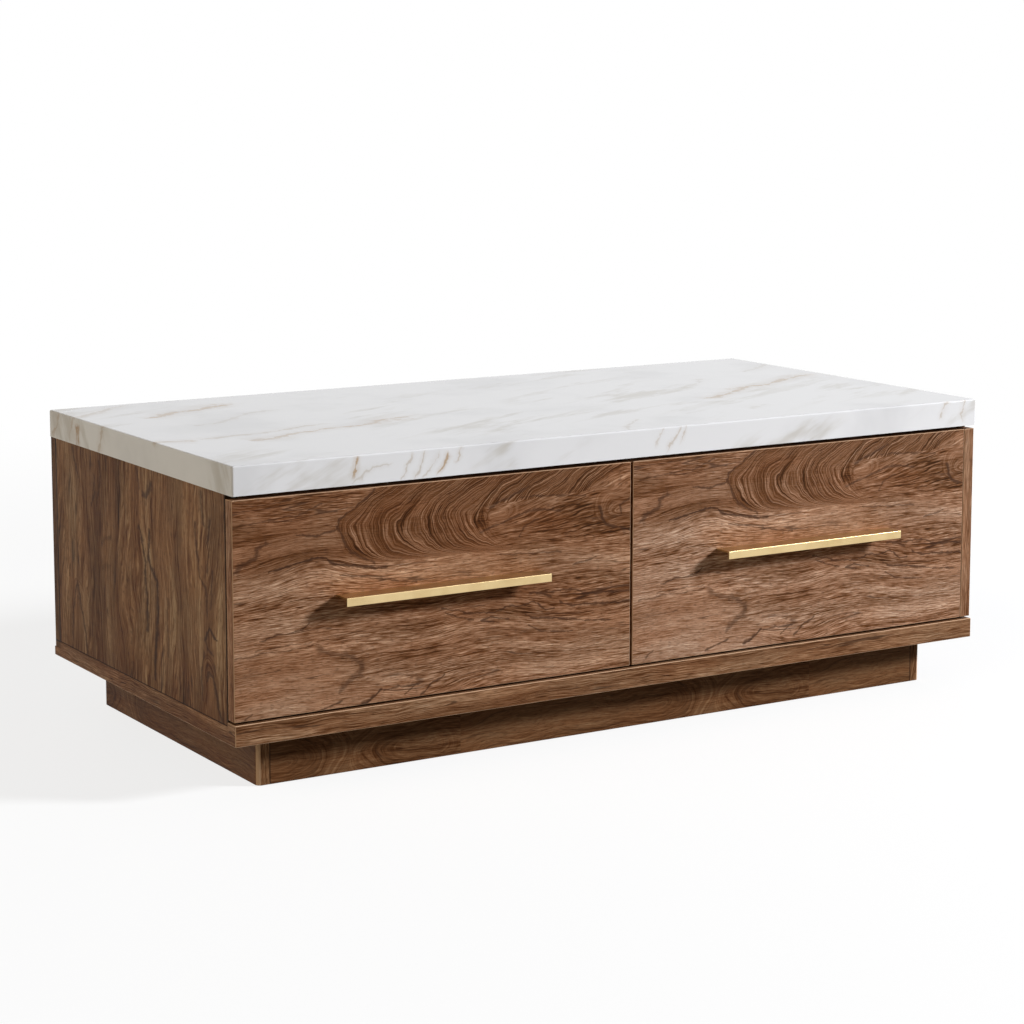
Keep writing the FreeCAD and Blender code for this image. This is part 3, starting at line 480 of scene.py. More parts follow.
def addHill(tree, x, y, centreX, centreY, halfLength, halfHeight, amount):
    hill = useGroup(tree, fieldHill, {"X": x, "Y": y, "Centre X": centreX, "Centre Y": centreY,
                                      "Half Length": halfLength, "Half Height": halfHeight,
                                      "Amount": amount})
    return hill["Value"]


def addHills(tree, start, x, y, hills):
    # each hill is centre along and across, half length, half height, amount
    total = start
    for hill in hills:
        total = calc(tree, "ADD", addHill(tree, x, y, *hill), total)
    return total


def addMarks(tree, along, across, marks):
    # each mark is its width and strength and then the points of a wavy dark line, all in millimetres
    place = calcVector(tree, "SCALE", joinXY(tree, along, across), scale=1000.0)
    inputs = {"Vector": place, "Scale": markLook["wobbleScale"], "Detail": 3.0}
    wobble = addNode(tree, "ShaderNodeTexNoise", inputs, noise_dimensions="2D")
    shift = calcVector(tree, "SUBTRACT", wobble.outputs["Color"], (0.5, 0.5, 0.5))
    wavy = calcVector(tree, "ADD", calcVector(tree, "MULTIPLY", shift, markLook["wobble"]), place)
    thickness = fade(tree, noise(tree, place, 0.09, 2.0, 0.6), 0.3, 0.7, *markLook["thickness"])
    total = 0.0
    for width, strength, *points in marks:
        nearest = 1000.0  # farther than any line
        for (x0, y0), (x1, y1) in zip(points, points[1:]):
            length = math.hypot(x1 - x0, y1 - y0)
            way = ((x1 - x0) / length, (y1 - y0) / length, 0.0)
            piece = useGroup(tree, lineDistance, {"Place": wavy, "Start": (x0, y0, 0.0), "Way": way,
                                                  "Length": length})
            nearest = calc(tree, "MINIMUM", piece["Distance"], nearest)
        darkest, ended = (share * width for share in markLook["soft"])
        line = fade(tree, calc(tree, "DIVIDE", nearest, thickness), darkest, ended, strength, 0.0)
        total = calc(tree, "MAXIMUM", line, total)
    return total


def addRings(tree, x, y, rings, lines):
    # each ring figure is centre along and across, half length, stretch, reach, softness and strength
    nearest = 1.0  # farther than any ring
    mask = 0.0
    for centreX, centreY, halfLength, stretch, reach, soft, strength in rings:
        ring = useGroup(tree, ringFigure, {"X": x, "Y": y, "Centre X": centreX, "Centre Y": centreY,
                                           "Half Length": halfLength, "Stretch": stretch,
                                           "Reach": reach, "Soft": soft})
        nearest = calc(tree, "MINIMUM", ring["Distance"], nearest)
        mask = calc(tree, "MAXIMUM", calc(tree, "MULTIPLY", ring["Mask"], strength), mask)
    drawn = useGroup(tree, woodLines, {"Along": calc(tree, "ADD", x, y), "Field": nearest, **lines})
    return drawn, mask


def layOver(tree, mask, below, above, darker, veins=1.0):
    shade = calc(tree, "SUBTRACT", above["Shade"], darker)
    return {
        "Shade": mixValue(tree, mask, below["Shade"], shade),
        "Vein": mixValue(tree, mask, below["Vein"], calc(tree, "MULTIPLY", above["Vein"], veins)),
        "Pore": mixValue(tree, mask, below["Pore"], above["Pore"]),
    }


def bendGrain(tree, along, across, waves):
    return useGroup(tree, grainField, {"Along": along, "Across": across, **waves})["Field"]


def makeWalnut(name, axes, pattern, **look):
    # pattern: where its corner is, field waves, line sizes, and lists of hills, tones, marks and rings
    material, tree, shader, where = startMaterial(name, walnut["gloss"])
    spot = useGroup(tree, boardPlace, {"Place": where["Object"], "Normal": where["Normal"], **axes})
    ways = (("Along", "alongWay", "alongStart"), ("Across", "acrossWay", "acrossStart"))
    along, across = (
        calc(tree, "MULTIPLY_ADD", spot[side], pattern.get(way, 1), pattern.get(start, 0.0))
        for side, way, start in ways)
    if "repeat" in pattern:
        moved = calc(tree, "ADD", along, pattern["repeatFrom"])
        repeated = calc(tree, "FLOORED_MODULO", moved, pattern["repeat"])
        along = calc(tree, "SUBTRACT", repeated, pattern["repeatFrom"])
    field = bendGrain(tree, along, across, pattern["field"])
    field = addHills(tree, field, along, across, pattern.get("hills", ()))
    drawn = useGroup(tree, woodLines, {"Along": along, "Field": field, **pattern["lines"]})
    relief = calc(tree, "MULTIPLY_ADD", drawn["Pore"], -walnut["poreDepth"], drawn["Shade"])
    if "rings" in pattern:
        wobbledAlong = bendGrain(tree, across, along, pattern["wobble"])
        wobbledAcross = bendGrain(tree, along, across, pattern["wobble"])
        rings, mask = addRings(tree, wobbledAlong, wobbledAcross, pattern["rings"], pattern["ringLines"])
        drawn = layOver(tree, mask, drawn, rings, pattern.get("ringsDarker", 0.0))
    else:
        drawn = {key: drawn[key] for key in ("Shade", "Vein", "Pore")}
    if "arches" in pattern:
        wobble = bendGrain(tree, across, along, pattern["archWobble"])
        arches = useGroup(tree, archFigure, {"X": wobble, "Y": across, **pattern["arches"]})
        curl = {"Along": across, "Field": arches["Field"]}
        curled = useGroup(tree, woodLines, {**curl, **pattern["archLines"]})
        seen = calc(tree, "MULTIPLY", arches["Mask"], pattern["archesSeen"])
        straightPores = drawn["Pore"]  # the pores run on straight across the arches
        drawn = layOver(tree, seen, drawn, curled, pattern["archesDarker"], pattern["archesVeins"])
        drawn["Pore"] = straightPores
    drawn["Shade"] = addHills(tree, drawn["Shade"], along, across, pattern.get("tones", ()))
    if "calm" in pattern:
        calm = addHills(tree, 0.0, along, across, pattern["calm"])
        drawn["Shade"] = mixValue(tree, calm, drawn["Shade"], pattern["calmShade"])
    huePlace = joinXY(tree, *(
        calc(tree, "MULTIPLY_ADD", way, size, pattern["lines"]["Seed"])
        for way, size in zip((along, across), walnut["hueSize"])))
    drawn["hue"] = fade(tree, noise(tree, huePlace, 1.0, 2.0, 0.55), 0.3, 0.7)
    drawn["relief"] = relief
    if "marks" in pattern:
        drawn["marks"] = addMarks(tree, along, across, pattern["marks"])
    finishWood(tree, shader, where, drawn, spot["Edge"], look)
    return material


# The print on both drawer fronts, from its upper left corner, along and down

frontPrint = {
    "acrossWay": -1,
    "field": {"Wide Length": 0.26, "Wide Height": 0.08, "Wide Amount": 0.0055,
              "Narrow Amount": 0.0008, "Seed": 2.0},
    "lines": {"Seed": 4.0},
    "hills": (
        (0.117, 0.09, 0.055, 0.03, 0.014),
        (0.59, -0.01, 0.16, 0.065, 0.06),
        (0.36, 0.18, 0.07, 0.035, 0.008),
        (0.5, 0.2, 0.1, 0.045, -0.011),
        (0.27, 0.29, 0.07, 0.03, -0.018),
    ),
    "tones": (
        (0.3, 0.25, 0.8, 0.1, 0.08),
        (0.36, 0.113, 0.3, 0.016, 0.11),
        (0.08, 0.112, 0.1, 0.018, 0.14),
        (0.05, 0.05, 0.14, 0.045, -0.2),
        (0.5, 0.24, 0.14, 0.04, 0.04),
        (0.52, 0.265, 0.09, 0.014, 0.08),
        (0.26, 0.27, 0.05, 0.012, 0.06),
        (0.49, 0.072, 0.07, 0.018, -0.12),
        (0.02, 0.145, 0.09, 0.016, -0.06),
        (0.02, 0.076, 0.03, 0.01, -0.14),
        (0.18, 0.231, 0.008, 0.009, -0.16),
        (0.43, 0.182, 0.1, 0.028, -0.07),
        (0.35, 0.062, 0.02, 0.014, -0.12),
    ),
    "calm": (
        (0.06, 0.045, 0.11, 0.05, 0.35),
        (0.02, 0.235, 0.16, 0.03, 0.3),
    ),
    "calmShade": 0.42,
    "marks": (
        (2.4, 0.85, (50, 95), (85, 88), (112, 82), (130, 86), (150, 96), (190, 102), (218, 105)),
        (1.7, 0.6, (0, 34), (60, 28), (85, 27), (125, 15)),
        (2.2, 0.7, (90, 52), (115, 55), (145, 48), (150, 38), (172, 24), (200, 3)),
        (2.6, 0.65, (145, 45), (155, 62), (165, 80), (200, 98)),
        (5.4, 0.65, (4, 90), (15, 80), (32, 74), (34, 63), (48, 58)),
        (1.7, 0.75, (36, 182), (70, 175), (94, 173), (106, 165)),
        (1.4, 0.55, (0, 200), (40, 197), (110, 195)),
        (1.4, 0.55, (30, 193), (60, 191), (110, 190)),
        (6.5, 0.5, (120, 201), (145, 210), (168, 217), (180, 231), (176, 240), (158, 250), (147, 261)),
        (1.4, 0.65, (150, 108), (190, 116), (215, 121), (262, 129)),
        (1.8, 0.75, (112, 281), (150, 272)),
        (2.6, 0.85, (176, 281), (192, 275), (208, 264)),
        (1.8, 0.65, (212, 267), (235, 263), (262, 264), (243, 274)),
        (2.4, 0.75, (266, 279), (285, 264), (302, 256)),
        (3.6, 0.65, (12, 281), (24, 273)),
        (1.8, 0.75, (298, 168), (320, 173), (350, 180), (375, 182), (392, 178), (440, 176),
         (458, 187), (470, 187)),
        (1.7, 0.65, (305, 176), (330, 183), (346, 188)),
        (1.7, 0.75, (400, 193), (372, 188), (357, 191), (386, 198)),
        (3.6, 0.65, (434, 162), (450, 163), (464, 169)),
        (1.9, 0.75, (426, 191), (440, 197), (470, 200), (512, 207), (560, 213)),
        (1.7, 0.65, (430, 205), (450, 216), (500, 222)),
        (2.6, 0.75, (480, 180), (500, 186), (540, 188), (593, 190)),
        (1.8, 0.65, (455, 162), (500, 165), (520, 172), (565, 175)),
        (1.7, 0.65, (500, 131), (537, 125)),
        (1.7, 0.55, (385, 106), (430, 108), (482, 112)),
        (2.9, 0.7, (372, 41), (400, 31), (430, 18)),
        (2.4, 0.65, (358, 72), (400, 62), (420, 53), (450, 52), (480, 56)),
        (1.9, 0.6, (420, 33), (460, 34), (520, 38)),
        (3.1, 0.75, (542, 56), (545, 72), (556, 82), (593, 93)),
        (2.2, 0.65, (593, 48), (575, 58), (578, 68)),
        (1.9, 0.55, (415, 84), (424, 72), (445, 64)),
    ),
    "rings": (
        (0.352, 0.047, 0.006, 1.4, 0.01, 0.006, 0.6),
        (0.385, 0.048, 0.012, 1.6, 0.009, 0.008, 0.4),
        (0.62, 0.06, 0.045, 1.4, 0.022, 0.012, 0.6),
    ),
    "ringLines": {"Line Size": 0.0026, "Stretch": 16.0, "Fibres": 0.16, "Lines": 0.2, "Bands": 0.1,
                  "Seed": 21.0},
    "ringsDarker": 0.04,
    "wobble": {"Wide Length": 0.08, "Wide Height": 0.05, "Wide Amount": 0.006, "Narrow Length": 0.025,
               "Narrow Height": 0.012, "Narrow Amount": 0.0014, "Seed": 5.0},
    "arches": {"Centre Y": 0.047, "Half Height": 0.045, "First": 0.138, "Last": 0.334, "Upper Last": 0.5,
               "Soft": 0.022},
    "archWobble": {"Wide Length": 0.06, "Wide Height": 0.05, "Wide Amount": 0.006,
                   "Narrow Length": 0.018, "Narrow Height": 0.012, "Narrow Amount": 0.0014, "Seed": 5.0},
    "archLines": {"Line Size": 0.0023, "Stretch": 14.0, "Fibres": 0.18, "Lines": 0.32, "Streaks": 0.04,
                  "Bands": 0.0, "Tone": 0.0, "Threads": 0.42, "Seed": 9.0},
    "archesDarker": 0.2,
    "archesSeen": 0.84,
    "archesVeins": 0.5,
}
dress(makeWalnut("leftFrontWalnut", frontAxes, {**frontPrint, "alongStart": 0.5995, "acrossStart": 0.3815}),
      "left_drawer_front")
dress(makeWalnut("rightFrontWalnut", frontAxes, {**frontPrint, "alongStart": -0.007, "acrossStart": 0.3895},
                 tint=tints["rightFront"]), "right_drawer_front")


# The print on the upright boards, down from the top and forward from the back

def sideJoints(tree, where):
    # dark joint lines beside the back panel and above the bottom panel's edge
    parts = splitXYZ(tree, where["Object"])
    lines = 0.0
    for letter, place, width in joints["side"]:
        gap = gapBetween(tree, parts[letter], place)
        line = fade(tree, gap, 0.4 * width, width, joints["sideStrength"], 0.0)
        lines = calc(tree, "MAXIMUM", line, lines)
    return lines


def backJoints(tree, where):
    # the same joint lines, and the panel's bare ends darker than its face
    parts = splitXYZ(tree, where["Normal"])
    ends = calc(tree, "GREATER_THAN", calc(tree, "ABSOLUTE", parts["X"]), 0.7)
    darker = calc(tree, "MULTIPLY", ends, walnut["backEnds"])
    return calc(tree, "MAXIMUM", sideJoints(tree, where), darker)


sidePrint = {
    "alongWay": -1, "alongStart": 0.387, "acrossWay": -1, "acrossStart": 0.3,
    "field": {"Wide Length": 0.25, "Wide Height": 0.1, "Wide Amount": 0.012,
              "Narrow Amount": 0.0024, "Seed": 7.0},
    "lines": {"Line Size": 0.003, "Stretch": 14.0, "Fibres": 0.18, "Lines": 0.155, "Streaks": 0.085,
              "Bands": 0.15, "Threads": 0.22, "Seed": 3.0},
    "hills": (
        (0.145, 0.355, 0.05, 0.03, -0.013),
        (0.17, 0.24, 0.1, 0.04, 0.02),
        (0.06, 0.53, 0.09, 0.04, -0.02),
    ),
    "tones": (
        (0.2, 0.172, 0.4, 0.024, -0.14),
        (0.03, 0.21, 0.07, 0.06, -0.1),
        (0.15, 0.11, 0.4, 0.026, 0.12),
        (0.1, 0.093, 0.05, 0.012, 0.1),
        (0.12, 0.44, 0.4, 0.05, 0.05),
        (0.19, 0.385, 0.06, 0.016, -0.08),
        (0.07, 0.46, 0.06, 0.008, 0.12),
        # painted shade: darker towards the bottom of the side panels, over their whole depth
        (0.3, 0.35, 0.045, 0.5, -0.12),
    ),
    "marks": (
        (4.0, 0.62, (5, 83), (18, 88), (28, 94), (45, 102)),
        (3.0, 0.62, (140, 94), (165, 94)),
        (4.0, 0.72, (196, 91), (215, 82), (240, 74), (265, 70), (294, 68)),
        (4.5, 0.77, (196, 92), (220, 100), (245, 110), (262, 118), (290, 123)),
        (3.0, 0.62, (175, 66), (192, 61)),
        (3.5, 0.62, (35, 158), (60, 160), (76, 147)),
        (3.5, 0.62, (12, 178), (30, 182), (56, 176), (66, 171)),
        (3.5, 0.57, (0, 205), (20, 202)),
        (4.0, 0.4, (126, 184), (115, 200), (111, 216)),
        (5.0, 0.35, (161, 183), (154, 195), (151, 212)),
        (8.0, 0.72, (37, 325), (40, 335), (30, 345), (18, 353)),
        (4.0, 0.52, (5, 305), (30, 315)),
        (5.0, 0.82, (82, 312), (98, 320), (115, 326), (127, 331), (140, 328), (160, 332),
         (185, 335), (218, 333)),
        (5.0, 0.85, (82, 346), (100, 343), (118, 341), (127, 346), (138, 357), (146, 367),
         (165, 368), (200, 367)),
        (5.5, 0.85, (200, 367), (225, 363), (250, 357), (280, 355)),
        (3.5, 0.52, (165, 399), (240, 400)),
        (5.0, 0.62, (8, 508), (30, 510), (46, 514)),
        (4.5, 0.62, (40, 533), (60, 528), (85, 527), (106, 522)),
        (4.0, 0.67, (50, 490), (85, 492), (115, 500), (125, 510), (128, 518), (150, 520), (166, 521)),
        (3.5, 0.62, (104, 541), (125, 535), (152, 532)),
        (4.0, 0.82, (197, 514), (188, 520), (180, 528), (187, 540), (191, 549)),
        (3.5, 0.62, (197, 515), (206, 523), (212, 538)),
        (3.5, 0.67, (214, 510), (230, 504), (252, 502), (275, 503)),
        (3.0, 0.57, (220, 540), (236, 545)),
        (4.5, 0.77, (248, 519), (236, 524), (241, 536), (255, 543), (272, 549), (290, 560)),
        (3.5, 0.52, (22, 576), (45, 570)),
    ),
    "rings": (
        (0.3, 0.527, 0.05, 1.3, 0.022, 0.01, 0.6),
        (0.3, 0.095, 0.07, 1.6, 0.018, 0.01, 0.6),
    ),
    "ringLines": {"Line Size": 0.0028, "Stretch": 12.0, "Fibres": 0.1, "Lines": 0.18, "Streaks": 0.24,
                  "Bands": 0.08, "Threads": 0.2, "Seed": 17.0},
    "wobble": {"Wide Length": 0.08, "Wide Height": 0.06, "Wide Amount": 0.008, "Narrow Amount": 0.0014,
               "Seed": 15.0},
}
dress(makeWalnut("sideWalnut", uprightAxes, sidePrint, joint=sideJoints, tint=tints["side"], hues=1.3),
      "left_side_panel", "right_side_panel", "centre_divider")

plainField = {"Wide Length": 0.3, "Wide Amount": 0.005, "Narrow Amount": 0.0015}
plainLines = {"Line Size": 0.002, "Stretch": 22.0, "Bands": 0.1}
endStrip = {"field": {**plainField, "Seed": 1.0}, "lines": {**plainLines, "Seed": 8.0}}
dress(makeWalnut("endStripWalnut", uprightAxes, endStrip, tint=tints["endStrip"]), "right_end_strip")
backBoard = {"field": {**plainField, "Wide Amount": 0.012, "Seed": 12.0},
             "lines": {**plainLines, "Seed": 5.0}}
dress(makeWalnut("backWalnut", frontAxes, backBoard, joint=backJoints, tint=tints["back"]), "back_panel")
bottomBoard = {"field": {**plainField, "Wide Amount": 0.003, "Seed": 6.0},
               "lines": {"Line Size": 0.0016, "Stretch": 30.0, "Bands": 0.1, "Tone": 0.08, "Seed": 14.0}}
dress(makeWalnut("bottomWalnut", lengthAxes, bottomBoard, tint=tints["bottom"]),
      "bottom_panel", "front_top_rail", "rear_top_rail")


# The print on the plinth boards, from the left end and down from the top

plinthAxesLong = {**lengthAxes, "Along X Sides": (0, 0, 1), "Across X Sides": (0, 1, 0)}
plinthAxesShort = {**lengthAxes, "Along Y Sides": (0, 0, 1), "Across Y Sides": (1, 0, 0),
                   "Along Z Sides": (0, 1, 0), "Across Z Sides": (1, 0, 0)}


def plinthJoints(tree, where):
    # dark joint lines where the end boards meet the long ones
    parts = splitXYZ(tree, where["Object"])
    gap = gapBetween(tree, calc(tree, "ABSOLUTE", parts["X"]), joints["plinthPlace"])
    return fade(tree, gap, *joints["plinthWidths"], joints["plinthStrength"], 0.0)


plinthPrint = {
    "alongStart": 0.546, "acrossWay": -1, "acrossStart": 0.07, "repeat": 0.585, "repeatFrom": 0.285,
    "field": {"Wide Length": 0.2, "Wide Height": 0.08, "Wide Amount": 0.008, "Narrow Amount": 0.0015,
              "Seed": 3.0},
    "lines": {"Line Size": 0.0024, "Stretch": 16.0, "Streaks": 0.14, "Bands": 0.1, "Seed": 10.0},
    "rings": (
        (-0.135, 0.038, 0.165, 2.2, 0.07, 0.02, 0.7),
        (0.233, 0.046, 0.006, 1.9, 0.026, 0.014, 0.35),
    ),
    "ringLines": {"Line Size": 0.003, "Stretch": 14.0, "Fibres": 0.12, "Lines": 0.1, "Streaks": 0.07,
                  "Bands": 0.05, "Threads": 0.16, "Seed": 33.0},
    "wobble": {"Wide Length": 0.09, "Wide Height": 0.06, "Wide Amount": 0.009, "Narrow Amount": 0.0016,
               "Seed": 8.0},
}
# the plinth's tint is partly painted shade, as under the overhang of the top
plinthLook = {"joint": plinthJoints, "tint": tints["plinth"]}
dress(makeWalnut("plinthLongWalnut", plinthAxesLong, plinthPrint, **plinthLook),
      "plinth_front_board", "plinth_back_board")
dress(makeWalnut("plinthShortWalnut", plinthAxesShort, plinthPrint, **plinthLook),
      "plinth_left_board", "plinth_right_board")
print("walnut done")


# Marble

marble = {
    "white": (0.6765, 0.6765, 0.6882),
    "cloud": (0.5941, 0.5941, 0.6059),
    "grey": (0.4, 0.3647, 0.3059),
    "brown": (0.3647, 0.2353, 0.1176),
    "gloss": {"Roughness": 0.1, "Specular IOR Level": 0.1},
    "fingerMarks": 0.02,
    "cloudScale": 5.0,
    "faintStreaks": 0.6,
    "topLevel": 0.425,  # metres over the floor
    "noiseShift": (7.3, 4.9, 0.0),  # keeps the noise's own straight lines off the top
    "streaks": {"Rotation": (0, 0, math.radians(26)), "Scale": (0.2, 0.045, 1.0)},
    "slowWave": 0.05,
    "quickWave": 0.016,
    "thickness": (0.2, 1.7),
    "halo": 0.34,
    # start x and y, angle in degrees, length, width, brown share, strength
    # past an edge of the top the sheet folds down
    "veins": (
        (-0.525, 0.143, 27, 0.2, 0.0076, 0.8, 0.75),
        (-0.5, 0.05, 23, 0.21, 0.0068, 0.2, 0.35),
        (-0.61, -0.07, -18, 0.07, 0.0068, 0.8, 0.6),
        (-0.54, -0.085, 15, 0.23, 0.0068, 0.5, 0.5),
        (-0.49, -0.125, 19, 0.35, 0.0076, 0.8, 0.65),
        (-0.6, 0.2, 34, 0.15, 0.0076, 0.6, 0.45),
        (0.255, -0.088, 26, 0.38, 0.0082, 0.75, 0.75),
        (0.3, 0.02, 39, 0.14, 0.0068, 0.1, 0.3),
        (0.5, 0.135, 34, 0.13, 0.0068, 0.1, 0.35),
        (-0.01, -0.3, 53, 0.12, 0.0046, 0.3, 0.35),
        (0.25, -0.215, 27, 0.07, 0.0085, 0.1, 0.25),
        (-0.432, -0.334, 68, 0.036, 0.0025, 1.0, 0.75),
        (-0.436, -0.34, 30, 0.07, 0.0016, 0.4, 0.35),
        (-0.372, -0.34, 62, 0.048, 0.0018, 0.5, 0.4),
        (-0.352, -0.34, 60, 0.05, 0.0021, 0.5, 0.45),
        (-0.336, -0.34, 58, 0.05, 0.0014, 0.5, 0.35),
        (-0.316, -0.335, 58, 0.04, 0.0025, 1.0, 0.75),
        (-0.29, -0.32, 52, 0.03, 0.0018, 0.8, 0.45),
        (0.05, -0.34, 62, 0.05, 0.0021, 0.7, 0.4),
        (0.072, -0.33, 64, 0.036, 0.0021, 0.7, 0.4),
        (0.03, -0.33, 66, 0.036, 0.0016, 0.6, 0.3),
        (0.54, -0.336, 62, 0.04, 0.0023, 0.6, 0.4),
        (0.575, -0.336, 66, 0.04, 0.0021, 0.6, 0.4),
        (-0.64, 0.294, -43, 0.056, 0.0057, 0.8, 0.55),
        (-0.64, 0.225, -25, 0.05, 0.0046, 0.8, 0.4),
        (-0.64, 0.206, -24, 0.036, 0.0037, 1.0, 0.95),
        (-0.64, 0.2, -22, 0.036, 0.0030, 1.0, 0.8),
        (-0.64, 0.13, -43, 0.056, 0.0046, 0.8, 0.45),
    ),
    # brown patches: centre x and y, half length, half height, strength
    "patches": (
        (-0.368, 0.222, 0.022, 0.012, 0.55),
        (-0.225, -0.048, 0.03, 0.01, 0.5),
        (0.366, -0.02, 0.018, 0.01, 0.5),
        (0.552, 0.06, 0.026, 0.011, 0.6),
    ),
}


def makeMarbleVein():
    # one vein: a thin wavy line with a soft halo, from its start along its angle
    group, entry, leave = startGroup(
        "marbleVein",
        {"Place": (0.0, 0.0, 0.0), "Wave": 0.0, "Thickness": 1.0, "Start X": 0.0, "Start Y": 0.0,
         "Angle": 0.0, "Length": 0.2, "Width": 0.003},
        ("Line", "Halo"))
    parts = splitXYZ(group, entry["Place"])
    x = calc(group, "SUBTRACT", parts["X"], entry["Start X"])
    y = calc(group, "SUBTRACT", parts["Y"], entry["Start Y"])
    cosine = calc(group, "COSINE", entry["Angle"])
    sine = calc(group, "SINE", entry["Angle"])
    along = calc(group, "ADD", calc(group, "MULTIPLY", x, cosine), calc(group, "MULTIPLY", y, sine))
    across = calc(group, "SUBTRACT", calc(group, "MULTIPLY", y, cosine), calc(group, "MULTIPLY", x, sine))
    gap = calc(group, "ABSOLUTE", calc(group, "ADD", across, entry["Wave"]))
    width = calc(group, "MULTIPLY", entry["Width"], entry["Thickness"])
    line = fade(group, calc(group, "DIVIDE", gap, width), 0.15, 1.0, 1.0, 0.0)
    haloWidth = calc(group, "MULTIPLY", entry["Width"], 4.0)
    halo = fade(group, calc(group, "DIVIDE", gap, haloWidth), 0.0, 1.0, 1.0, 0.0)
    starts = fade(group, along, 0.0, 0.012)
    ends = fade(group, along, calc(group, "MULTIPLY", entry["Length"], 0.8), entry["Length"], 1.0, 0.0)
    shown = calc(group, "MULTIPLY", starts, ends)
    plug(group, calc(group, "MULTIPLY", line, shown), leave["Line"])
    plug(group, calc(group, "MULTIPLY", halo, shown), leave["Halo"])
    return group


def makeMarble():
    material, tree, shader, where = startMaterial("polishedMarble", marble["gloss"])
    vein = makeMarbleVein()
    parts = splitXYZ(tree, where["Object"])
    drop = calc(tree, "SUBTRACT", marble["topLevel"], parts["Z"])
    place = calcVector(tree, "ADD", where["Object"], calcVector(tree, "SCALE", where["Normal"], scale=drop))
    noisePlace = calcVector(tree, "ADD", place, marble["noiseShift"])
    clouds = noise(tree, noisePlace, marble["cloudScale"], 4.0, 0.55)
    colour = mixColour(tree, fade(tree, clouds, 0.45, 0.75), marble["white"], marble["cloud"])
    turned = addNode(tree, "ShaderNodeMapping", {"Vector": noisePlace, **marble["streaks"]},
                     vector_type="TEXTURE").outputs[0]
    streaks = noise(tree, turned, 1.0, 4.0, 0.6)
    faintWhere = fade(tree, noise(tree, noisePlace, 3.4, 2.0, 0.5), 0.4, 0.62)
    faintLine = fade(tree, streaks, 0.5, 0.72, 0.0, marble["faintStreaks"])
    faintLine = calc(tree, "MULTIPLY", faintLine, faintWhere)
    colour = mixColour(tree, faintLine, colour, marble["grey"])
    slow = swing(tree, noise(tree, noisePlace, 9.0, 1.0, 0.5))
    quick = swing(tree, noise(tree, noisePlace, 45.0, 3.0, 0.6))
    quick = calc(tree, "MULTIPLY", quick, marble["quickWave"])
    wave = calc(tree, "MULTIPLY_ADD", slow, marble["slowWave"], quick)
    thickness = fade(tree, noise(tree, noisePlace, 38.0, 3.0, 0.65), 0.32, 0.68, *marble["thickness"])
    for x, y, angle, length, width, brown, strength in marble["veins"]:
        masks = useGroup(tree, vein, {"Place": place, "Wave": wave, "Thickness": thickness,
                                      "Start X": x, "Start Y": y, "Angle": math.radians(angle),
                                      "Length": length, "Width": width})
        tone = [g + (b - g) * brown for g, b in zip(marble["grey"], marble["brown"])]
        for mask, amount in (("Halo", marble["halo"] * strength), ("Line", strength)):
            colour = mixColour(tree, calc(tree, "MULTIPLY", masks[mask], amount), colour, tone)
    flat = splitXYZ(tree, place)
    patchy = fade(tree, noise(tree, noisePlace, 60.0, 4.0, 0.65), 0.42, 0.62)
    for patch in marble["patches"]:
        spot = addHill(tree, flat["X"], flat["Y"], *patch)
        colour = mixColour(tree, calc(tree, "MULTIPLY", spot, patchy), colour, marble["brown"])
    tree.links.new(colour, shader.inputs["Base Color"])
    rough = addFingerMarks(tree, where, marble["fingerMarks"], marble["gloss"]["Roughness"])
    plug(tree, rough, shader.inputs["Roughness"])
    return material


dress(makeMarble(), "marble_top")
print("marble done")


# Brass

brass = {
    "colour": (0.69, 0.525, 0.275),
    "deep": (0.57, 0.41, 0.2),
    "gloss": {"Metallic": 1.0, "Roughness": 0.3},
    "lineScale": (12.0, 2400.0, 2400.0),
    "lineGloss": 0.16,  # how far the roughness swings over the brushed lines
    "tarnishScale": 25.0,
    "bump": {"distance": 0.00005, "strength": 0.4},
}


def makeBrushedLines():
    group, entry, leave = startGroup("brushedLines", {"Place": (0.0, 0.0, 0.0)}, ("Line",))
    stretched = calcVector(group, "MULTIPLY", entry["Place"], brass["lineScale"])
    plug(group, noise(group, stretched, 1.0, 2.0, 0.6, flat=False), leave["Line"])
    return group


brushedLines = makeBrushedLines()


def makeBrass():
    material, tree, shader, where = startMaterial("brushedBrass", brass["gloss"])
    line = useGroup(tree, brushedLines, {"Place": where["Object"]})["Line"]
    tarnish = noise(tree, where["Object"], brass["tarnishScale"], 3.0, 0.6, flat=False)
    colour = mixColour(tree, fade(tree, tarnish, 0.35, 0.8), brass["colour"], brass["deep"])
    colour = mixColour(tree, fade(tree, line, 0.4, 0.7, 0.0, 0.25), colour, brass["deep"])
    tree.links.new(colour, shader.inputs["Base Color"])
    smoothest = brass["gloss"]["Roughness"] - brass["lineGloss"] / 2
    rough = calc(tree, "MULTIPLY_ADD", line, brass["lineGloss"], smoothest)
    plug(tree, rough, shader.inputs["Roughness"])
    addBump(tree, shader, line, **brass["bump"])
    return material


dress(makeBrass(), "left_drawer_handle", "right_drawer_handle")
print("brass done")


# Boards, steel and plastic that show when the drawers are open

speckled = {"fingerMarks": 0.04, "bump": {"distance": 0.0001, "strength": 0.4}}
